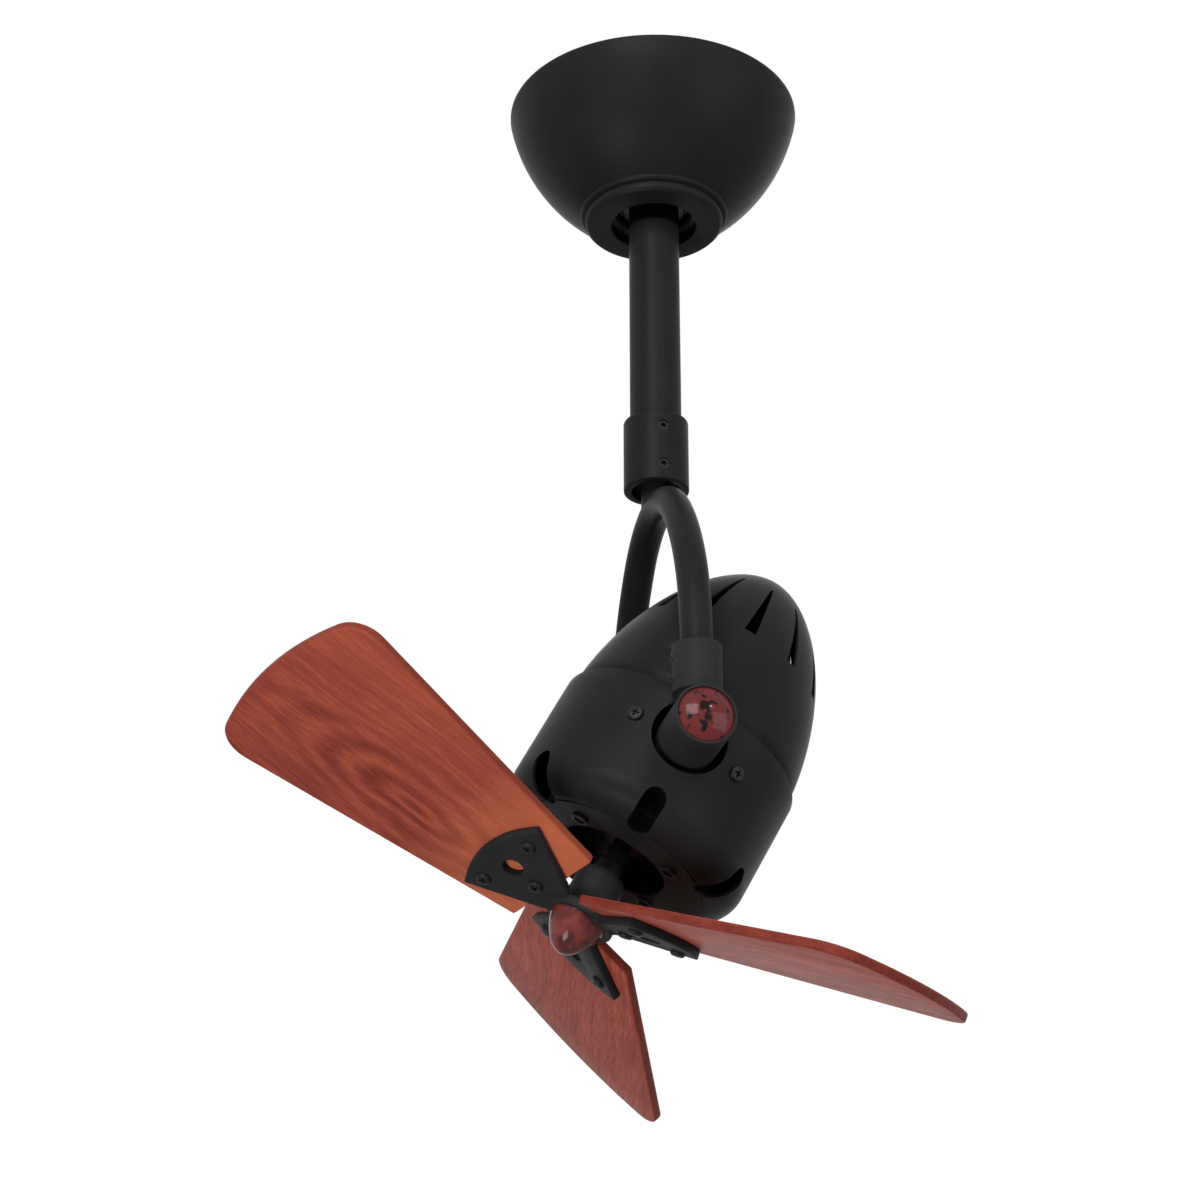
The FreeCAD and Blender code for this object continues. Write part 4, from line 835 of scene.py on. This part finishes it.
side_screw = headed_screw("side_screw", SIDE_SCREW_R, SIDE_SCREW_H, "cross")
for k, degrees in enumerate(SIDE_SCREW_DEG):
    place = head @ Matrix.Rotation(math.radians(degrees), 4, "Z")
    place = place @ Matrix.Translation((DRUM_R * MM, 0, SIDE_SCREW_S * MM)) @ across
    node = "side_screw_%d" % (k + 1)
    settle(twin(side_screw, node + "_pan"), place, "head", blackened, [node])
bpy.data.objects.remove(side_screw)

face_screw = headed_screw("face_screw", FACE_SCREW_R, FACE_SCREW_H, "hexagon")
for k, degrees in enumerate(FACE_SCREW_DEG):
    place = head @ Matrix.Rotation(math.radians(degrees), 4, "Z")
    place = place @ Matrix.Translation((FACE_SCREW_RING_R * MM, 0, DRUM_FACE_S * MM))
    node = "face_screw_%d" % (k + 1)
    settle(twin(face_screw, node + "_socket"), place, "head", blackened, [node])
bpy.data.objects.remove(face_screw)

# Fan motor: black-painted frame and end bells, a stack of core laminations, varnished windings and
# bushes inside the head, and zinc-plated tilt bolts with fibre friction washers in the bosses. They
# are CAD nodes as they are, and some show through the openings. The frame, bells, windings, cores
# and shaft are toned darker than such parts are, as painted shade for the dark inside the head.
MOTOR_PAINT_AND_SHADE = ((0.0040, 0.0040, 0.0042, 1.0), (0.0060, 0.0060, 0.0061, 1.0))
MOTOR_WORK = ((0.50, 0.62), 1300.0, 70.0, 0.00006)
MOTOR_SPECULAR = 0.08
OILED_BRONZE = ((0.016, 0.011, 0.007, 1.0), (0.030, 0.021, 0.012, 1.0))
BRONZE_WORK = ((0.38, 0.5), 2400.0, 200.0, 0.00004)
OILED_STEEL_AND_SHADE = ((0.030, 0.030, 0.031, 1.0), (0.055, 0.055, 0.056, 1.0))
OILED_WORK = ((0.32, 0.46), 1400.0, 150.0, 0.00004)
# Windings painted near-black: painted shade where copper would show through the openings.
WIRE_VARNISH_AND_SHADE = ((0.008, 0.004, 0.003, 1.0), (0.016, 0.008, 0.005, 1.0))
WIRE_WORK = ((0.30, 0.42), 1300.0, 240.0, 0.0002)
WIRE_SPECULAR = 0.3
FIBRE = ((0.070, 0.038, 0.022, 1.0), (0.12, 0.070, 0.043, 1.0))
FIBRE_WORK = ((0.7, 0.85), 1900.0, 180.0, 0.00008)
motor_paint_and_shade = worked_finish("motor_paint_and_shade", MOTOR_PAINT_AND_SHADE, MOTOR_WORK, specular=MOTOR_SPECULAR)
dress(motor_paint_and_shade, "front_bell", "rear_bell", "motor_frame")
oiled_bronze = worked_finish("oiled_bronze", OILED_BRONZE, BRONZE_WORK, metallic=1.0)
dress(oiled_bronze, "shaft_bush_front", "shaft_bush_rear")
oiled_steel_and_shade = worked_finish("oiled_steel_and_shade", OILED_STEEL_AND_SHADE, OILED_WORK, metallic=1.0)
dress(oiled_steel_and_shade, "stator_core", "rotor_core", "fan_shaft")
varnished_wire_and_shade = worked_finish("varnished_wire_and_shade", WIRE_VARNISH_AND_SHADE, WIRE_WORK, specular=WIRE_SPECULAR)
dress(varnished_wire_and_shade, "winding_front", "winding_rear")
fibre = worked_finish("fibre_washer", FIBRE, FIBRE_WORK)
dress(fibre, "tilt_washer_near", "tilt_washer_far")
dress(zinc, "tilt_bolt_near", "tilt_bolt_far")

# Shaft collar: a small steel collar behind the hub, knurled round its outside so that it can be
# gripped. It is blackened like the screws.
COLLAR_R = 7.5
COLLAR_LEN = 9.0
COLLAR_BORE_R = 5.04
COLLAR_TOP_S = 62.0
KNURLS = 36
KNURL_DEEP = 0.94
COLLAR_CHAMFER = (0.6, 0.9)
COLLAR_CREASE = 25.0
collar_low = COLLAR_TOP_S - COLLAR_LEN
chamfer_r, chamfer_s = COLLAR_R - COLLAR_CHAMFER[0], COLLAR_CHAMFER[1]
collar_profile = eased([
    (COLLAR_BORE_R, collar_low, 0.2), (chamfer_r, collar_low, 0),
    (COLLAR_R, collar_low + chamfer_s, 0), (COLLAR_R, COLLAR_TOP_S - chamfer_s, 0),
    (chamfer_r, COLLAR_TOP_S, 0), (COLLAR_BORE_R, COLLAR_TOP_S, 0.2)])
collar = turned("shaft_collar_knurled", collar_profile, 2 * KNURLS)
bpy.ops.object.mode_set(mode="EDIT")
pick(collar, lambda place: math.hypot(place.x, place.y) > (COLLAR_R - 0.1) * MM
     and round(math.atan2(place.y, place.x) / math.pi * KNURLS) % 2 == 0)
collar_middle = (0, 0, (collar_low + COLLAR_LEN / 2) * MM)
bpy.ops.transform.resize(value=(KNURL_DEEP, KNURL_DEEP, 1.0), center_override=collar_middle)
bpy.ops.object.mode_set(mode="OBJECT")
settle(collar, head, "rotor", blackened, ["shaft_collar"], COLLAR_CREASE)

# Blade spider: one iron casting with a hub and three sector-shaped paddles that turn to the blades'
# pitch. Each paddle has a round hole and takes three screws, and the casting is sprayed black.
HUB_R = 13.0
HUB_REAR_S = 62.0
HUB_CONE_S = 64.5
HUB_CONE_R = 12.0
SPIDER_S = (85.0, 89.6)
SPIDER_R = 18.8
BLADE_S = 82.4
BLADE_T = 5.0
BLADE_FIRST_DEG = 72.62
BLADE_PITCH = math.radians(18.74)
BLADE_COUNT = 3
PADDLE_N = (2.52, 7.12)
PADDLE_ROOT = (16.0, 10.5)
PADDLE_R = 62.2
PADDLE_HALF = math.radians(31.0)
PADDLE_EDGE = 0.9
PADDLE_HOLE = (44.5, 5.8)
PADDLE_HOLE_DEEP = 20.0
ARM_ROOT = (9.0, 8.2)
ARM_SHY = 0.05
ARM_OVERLAP = 2.0
SPIDER_CREASE = 30.0
HOLE_CLEAR = 1.0


def blade_place(index):
    """The place of a blade: X runs out along it, Y across it and Z forward."""
    turn = Matrix.Rotation(math.radians(BLADE_FIRST_DEG - 360 / BLADE_COUNT * index), 4, "Z")
    out = head @ Matrix.Translation((0, 0, BLADE_S * MM)) @ turn
    return out @ Matrix.Rotation(BLADE_PITCH, 4, "X")


def slab(name, outline, low, thick):
    """A flat board cut to an outline of (x, y) points."""
    return close_up(prism(name, [(x, y, low) for x, y in outline], (0, 0, thick)))


def round_edges(piece, width, segments, degrees):
    """Rounds every edge that is sharper than an angle."""
    only(piece)
    ease = piece.modifiers.new("ease", "BEVEL")
    ease.width = width * MM
    ease.segments = segments
    ease.limit_method = "ANGLE"
    ease.angle_limit = math.radians(degrees)
    bpy.ops.object.modifier_apply(modifier=ease.name)


paddle_turns = [PADDLE_HALF * k / 16 for k in range(-16, 17)]
paddle_tip = [(PADDLE_R * math.cos(t), PADDLE_R * math.sin(t)) for t in paddle_turns]
paddle_outline = [(PADDLE_ROOT[0], -PADDLE_ROOT[1])] + paddle_tip + [PADDLE_ROOT]
paddle_mid = (PADDLE_N[0] + PADDLE_N[1]) / 2
hub_mid = (SPIDER_S[0] + SPIDER_S[1]) / 2 - BLADE_S
paddle = slab("paddle", paddle_outline, PADDLE_N[0], PADDLE_N[1] - PADDLE_N[0])
round_edges(paddle, PADDLE_EDGE, 3, 40.0)
hole_place = Matrix.Translation((PADDLE_HOLE[0] * MM, 0, 0))
cut_away(paddle, bar("paddle_hole", PADDLE_HOLE[1], PADDLE_HOLE_DEEP, hole_place, 64))

arm_high, arm_wide = (PADDLE_N[1] - PADDLE_N[0]) / 2 - ARM_SHY, PADDLE_ROOT[1] - ARM_SHY
arm_far_x = PADDLE_ROOT[0] + ARM_OVERLAP
arm_far = [(arm_far_x, side * arm_wide, paddle_mid + rise * arm_high)
           for side, rise in ((-1, -1), (1, -1), (1, 1), (-1, 1))]
arm = prism("arm", arm_far, (ARM_ROOT[0] - arm_far_x, 0, 0))
arm_turn = Matrix.Rotation(-BLADE_PITCH, 4, "X")
arm_near = arm_turn @ Vector((ARM_ROOT[0], 0, hub_mid))
near_centre = Vector((ARM_ROOT[0], 0, paddle_mid)) * MM
arm_taper = (1.0, ARM_ROOT[1] / PADDLE_ROOT[1], 1.0)
bpy.ops.transform.resize(value=arm_taper, center_override=near_centre)
bpy.ops.transform.rotate(value=BLADE_PITCH, orient_axis="X", center_override=near_centre)
bpy.ops.transform.translate(value=arm_near * MM - near_centre)
close_up(arm)

hub_profile = eased([
    (0, HUB_REAR_S, 0), (HUB_CONE_R, HUB_REAR_S, 0.5), (HUB_R, HUB_CONE_S, 0.8),
    (HUB_R, SPIDER_S[0], 0), (SPIDER_R, SPIDER_S[0], 0.6), (SPIDER_R, SPIDER_S[1], 0.8),
    (0, SPIDER_S[1], 0)])
spider = turned("blade_spider_casting", hub_profile, 96)
fix(spider, head)
for k in range(BLADE_COUNT):
    for part in (arm, paddle):
        member = twin(part, "spider_member")
        fix(member, blade_place(k))
        cut_away(spider, member, "UNION")
bpy.data.objects.remove(arm)
bpy.data.objects.remove(paddle)
hole_len = SPIDER_S[1] - HUB_REAR_S + 2 * HOLE_CLEAR
hole_place = head @ Matrix.Translation((0, 0, (HUB_REAR_S - HOLE_CLEAR) * MM))
cut_away(spider, bar("shaft_hole", COLLAR_BORE_R, hole_len, hole_place))
settle(spider, Matrix(), "rotor", black_casting, ["blade_spider"], SPIDER_CREASE)

# Blades: three boards of red-brown stained wood, flared towards a rounded tip, with eased edges and
# a satin varnish. The grain runs out along each board, and one board has a swirl in the middle.
BLADE_ROOT = (20.75, 33.75)
BLADE_FLARE = 0.199
BLADE_TIP_R = 203.0
BLADE_CORNER_R = 17.0
BLADE_EDGE = 1.2
BLADE_CREASE = 30.0
TONE_ENDS = (0.33, 0.67)
WOOD_DARK = (0.195, 0.034, 0.023, 1.0)
WOOD_MID = (0.360, 0.069, 0.044, 1.0)
WOOD_PALE = (0.570, 0.128, 0.066, 1.0)
# Painted light: the bright orange that the first board's root is lightened towards.
WOOD_ROOT_LIGHT = (0.92, 0.265, 0.115, 1.0)
# Painted shade on the board's side faces: the dark tone, how much of it, and how sharply it falls
# off.
WOOD_RIM_SHADE = (0.110, 0.018, 0.014, 1.0)
GRAIN_SHIFT = ((0.0, 0.0, 0.0), (0.10, 0.37, 0.21), (0.16, 0.81, 0.47))
SWIRL_PLACE = (-0.100, -0.014, 0.0)
SWIRL_SIZE = (24.0, 66.0, 66.0)
SWIRL_REACH = (0.8, 2.6)
SWIRL_SHARE = 0.46
SWAY_SIZE = (11.0, 30.0, 30.0)
SWAY_FAR = 0.004
BAND_SIZE = (8.0, 270.0, 270.0)
CLOUD_SIZE = (19.0, 38.0, 38.0)
CLOUD_SHARE = 0.42
FIBRE_SIZE = (80.0, 1150.0, 1150.0)
FIBRE_SHARE = 0.36
FIBRE_DEEP = 0.00005
FIBRE_RELIEF = 0.25
PORE_SIZE = (190.0, 1700.0, 1700.0)
PORE_SPAN = (0.58, 0.68)
PORE_SHARE = 0.40
PALE_SIDE_Y = (0.0, -0.055)
PALE_SIDE_SHARE = 0.32
ROOT_LIGHT_X = (0.090, 0.045)
ROOT_LIGHT_SHARE = 0.45
RIM_SHADE_SHARE = 0.62
RIM_SHADE_SHARP = 6
VARNISH_ROUGH = (0.50, 0.40)
VARNISH_SPECULAR = 0.05


def varnished_wood():
    """Stained wood on the board's own grain: a swirl, bands, fibres, pores and a thin varnish, with
    a painted light at the root and painted shade on the edges.
    """
    finish, tree, shader = new_finish("varnished_wood")

    def stretched(vector, size, detail):
        place = added(tree, "Mapping", {"Vector": vector, "Scale": size})
        noise = added(tree, "TexNoise", {
            "Vector": place.outputs["Vector"], "Scale": 1.0, "Detail": detail})
        return noise.outputs["Fac"]

    def ranged(value, *limits):
        ends = dict(zip(("From Min", "From Max", "To Min", "To Max"), limits))
        return added(tree, "MapRange", {"Value": value, **ends}).outputs["Result"]

    def blended(share, first, second):
        mix = added(tree, "Mix", {"Factor": share, "A": first, "B": second})
        return mix.outputs["Result"]

    def stained(share, colour, tone):
        mix = added(tree, "Mix", {"Factor": share, "A": colour, "B": tone}, data_type="RGBA")
        return mix.outputs["Result"]

    grain = added(tree, "Attribute", {}, attribute_name="grain").outputs["Vector"]
    swing = ranged(stretched(grain, SWAY_SIZE, 1.0), *NOISE_SPAN, -SWAY_FAR, SWAY_FAR)
    sway = added(tree, "CombineXYZ", {"Y": swing})
    warped = added(tree, "VectorMath", {0: grain, 1: sway.outputs["Vector"]}).outputs["Vector"]
    swirl_place = added(tree, "VectorMath", {0: warped, 1: SWIRL_PLACE}).outputs["Vector"]
    swirl = added(
        tree, "VectorMath", {0: swirl_place, 1: SWIRL_SIZE}, operation="MULTIPLY").outputs["Vector"]
    rings = added(tree, "TexWave", {
        "Vector": swirl, "Scale": 0.50, "Distortion": 2.6, "Detail": 2.0, "Detail Scale": 1.2},
        wave_type="RINGS", rings_direction="Z")
    reach = added(tree, "VectorMath", {0: swirl}, operation="LENGTH")
    bands = stretched(warped, BAND_SIZE, 4.0)
    cloud = stretched(warped, CLOUD_SIZE, 3.0)
    fibres = stretched(warped, FIBRE_SIZE, 4.0)
    pores = stretched(warped, PORE_SIZE, 1.0)
    swirled = ranged(reach.outputs["Value"], *SWIRL_REACH, SWIRL_SHARE, 0.0)
    figure = blended(swirled, bands, rings.outputs["Fac"])
    streaks = blended(FIBRE_SHARE, blended(CLOUD_SHARE, figure, cloud), fibres)
    tones = added(tree, "ValToRGB", {"Fac": streaks})
    stops = tones.color_ramp.elements
    for stop, position, tone in zip(stops, TONE_ENDS, (WOOD_DARK, WOOD_PALE)):
        stop.position, stop.color = position, tone
    stops.new(0.5).color = WOOD_MID
    pitted = ranged(pores, *PORE_SPAN, 0.0, PORE_SHARE)
    pored = stained(pitted, tones.outputs["Color"], WOOD_DARK)
    along = added(tree, "SeparateXYZ", {"Vector": grain})
    # Paler towards one long edge of the first board; the other boards' grain lies outside this
    # range.
    pale_side = ranged(along.outputs["Y"], *PALE_SIDE_Y, 0.0, PALE_SIDE_SHARE)
    # Painted light at the root of the first board; the other boards' grain lies outside this range.
    root_light = ranged(along.outputs["X"], *ROOT_LIGHT_X, 0.0, ROOT_LIGHT_SHARE)
    root_lit = stained(root_light, stained(pale_side, pored, WOOD_PALE), WOOD_ROOT_LIGHT)
    # Painted shade on the side faces, masked by the edge attribute.
    edge = added(tree, "Attribute", {}, attribute_name="edge").outputs["Fac"]
    rim_shaded = stained(ranged(edge, 0.0, 1.0, 0.0, RIM_SHADE_SHARE), root_lit, WOOD_RIM_SHADE)
    bump = added(tree, "Bump", {"Height": fibres, "Strength": FIBRE_RELIEF, "Distance": FIBRE_DEEP})
    fed(tree, shader, {
        "Base Color": rim_shaded, "Roughness": ranged(fibres, *NOISE_SPAN, *VARNISH_ROUGH),
        "Normal": bump.outputs["Normal"], "Specular IOR Level": VARNISH_SPECULAR})
    return finish


flare_rise = math.hypot(1.0, BLADE_FLARE)
flare_w = BLADE_ROOT[1] - BLADE_FLARE * BLADE_ROOT[0] - BLADE_CORNER_R * flare_rise
tip_reach = BLADE_TIP_R - BLADE_CORNER_R
half_b = BLADE_FLARE * flare_w
root_part = math.sqrt(half_b ** 2 - flare_rise ** 2 * (flare_w ** 2 - tip_reach ** 2))
corner_u = (root_part - half_b) / flare_rise ** 2
corner_w = BLADE_FLARE * corner_u + flare_w
corner_from, corner_to = math.atan2(1.0, -BLADE_FLARE), math.atan2(corner_w, corner_u)
upper = [BLADE_ROOT]
for k in range(13):
    turn = corner_from + (corner_to - corner_from) * k / 12
    round_u, round_w = BLADE_CORNER_R * math.cos(turn), BLADE_CORNER_R * math.sin(turn)
    upper.append((corner_u + round_u, corner_w + round_w))
tip_turns = [corner_to * k / 10 for k in range(9, -10, -1)]
tip = [(BLADE_TIP_R * math.cos(t), BLADE_TIP_R * math.sin(t)) for t in tip_turns]
lower = [(u, -w) for u, w in reversed(upper)]
board = slab("blade_board", (upper + tip + lower)[::-1], -BLADE_T / 2, BLADE_T)
round_edges(board, BLADE_EDGE, 4, 50.0)

wood = varnished_wood()
for k in range(BLADE_COUNT):
    blade = twin(board, "blade_%d_board" % (k + 1))
    shift = Vector(GRAIN_SHIFT[k])
    places = [vertex.co.copy() for vertex in blade.data.vertices]
    blade.data.attributes.new("grain", "FLOAT_VECTOR", "POINT")
    for value, place in zip(blade.data.attributes["grain"].data, places):
        value.vector = place + shift
    # edge is 1 in the middle of the thickness and 0 on the faces; it masks the painted shade on the
    # sides.
    blade.data.attributes.new("edge", "FLOAT", "POINT")
    for value, place in zip(blade.data.attributes["edge"].data, places):
        value.value = 1 - min(1.0, 2 * abs(place.z) / (BLADE_T * MM)) ** RIM_SHADE_SHARP
    settle(blade, blade_place(k), "rotor", wood, ["blade_%d" % (k + 1)], BLADE_CREASE)
bpy.data.objects.remove(board)

# Blade screws: three pan-head screws with a cross recess go through each paddle into its blade.
# They are blackened steel.
PADDLE_SCREWS = ((49.2, 19.6), (49.2, -19.6), (29.6, 0.0))
BLADE_SCREW_R, BLADE_SCREW_H = 3.9, 2.2
SCREW_TURN = (0.7, 1.1, 0.5)
pan_screw = headed_screw("pan_screw", BLADE_SCREW_R, BLADE_SCREW_H, "cross")
for k in range(BLADE_COUNT):
    trio = []
    for count, (u, w) in enumerate(PADDLE_SCREWS):
        screw = twin(pan_screw, "blade_screw")
        seat = Matrix.Translation((u * MM, w * MM, PADDLE_N[1] * MM))
        turn = SCREW_TURN[0] + SCREW_TURN[1] * count + SCREW_TURN[2] * k
        fix(screw, blade_place(k) @ seat @ Matrix.Rotation(turn, 4, "Z"))
        trio.append(screw)
    trio = gather(trio, "blade_screws_%d_pan" % (k + 1))
    settle(trio, Matrix(), "rotor", blackened, ["blade_screws_%d" % (k + 1)])
bpy.data.objects.remove(pan_screw)

# Nose: a blunt acorn turned from the same marbled resin as the caps, with more grey and pale veins,
# polished, and seated on the front of the hub.
NOSE_R = 15.0
NOSE_H = 19.0
NOSE_LOW_S = 89.62
NOSE_ROUND = 1.25
NOSE_DARK = (0.085, 0.020, 0.018, 1.0)
NOSE_RED = (0.190, 0.040, 0.034, 1.0)
NOSE_PALE = (0.40, 0.20, 0.175, 1.0)
NOSE_MARBLE = (110.0, 75.0, (0.36, 0.56), (0.9, 1.8))
nose_tones = (NOSE_DARK, NOSE_RED, NOSE_PALE)
nose_middle = head @ Vector((0, 0, (NOSE_LOW_S + NOSE_H) * MM))
nose_resin = marbled_finish(
    "marbled_nose_resin", nose_tones, NOSE_MARBLE, nose_middle, 2 * NOSE_R * MM)
nose_line = []
for k in range(29):
    h = 1 - (1 - k / 28) ** 2
    nose_line.append((NOSE_R * math.sqrt(1 - h ** NOSE_ROUND), NOSE_LOW_S + NOSE_H * h))
nose = turned("nose_acorn", [(0.0, NOSE_LOW_S)] + nose_line, 80)
settle(nose, head, "rotor", nose_resin, ["nose"], CAP_CREASE)
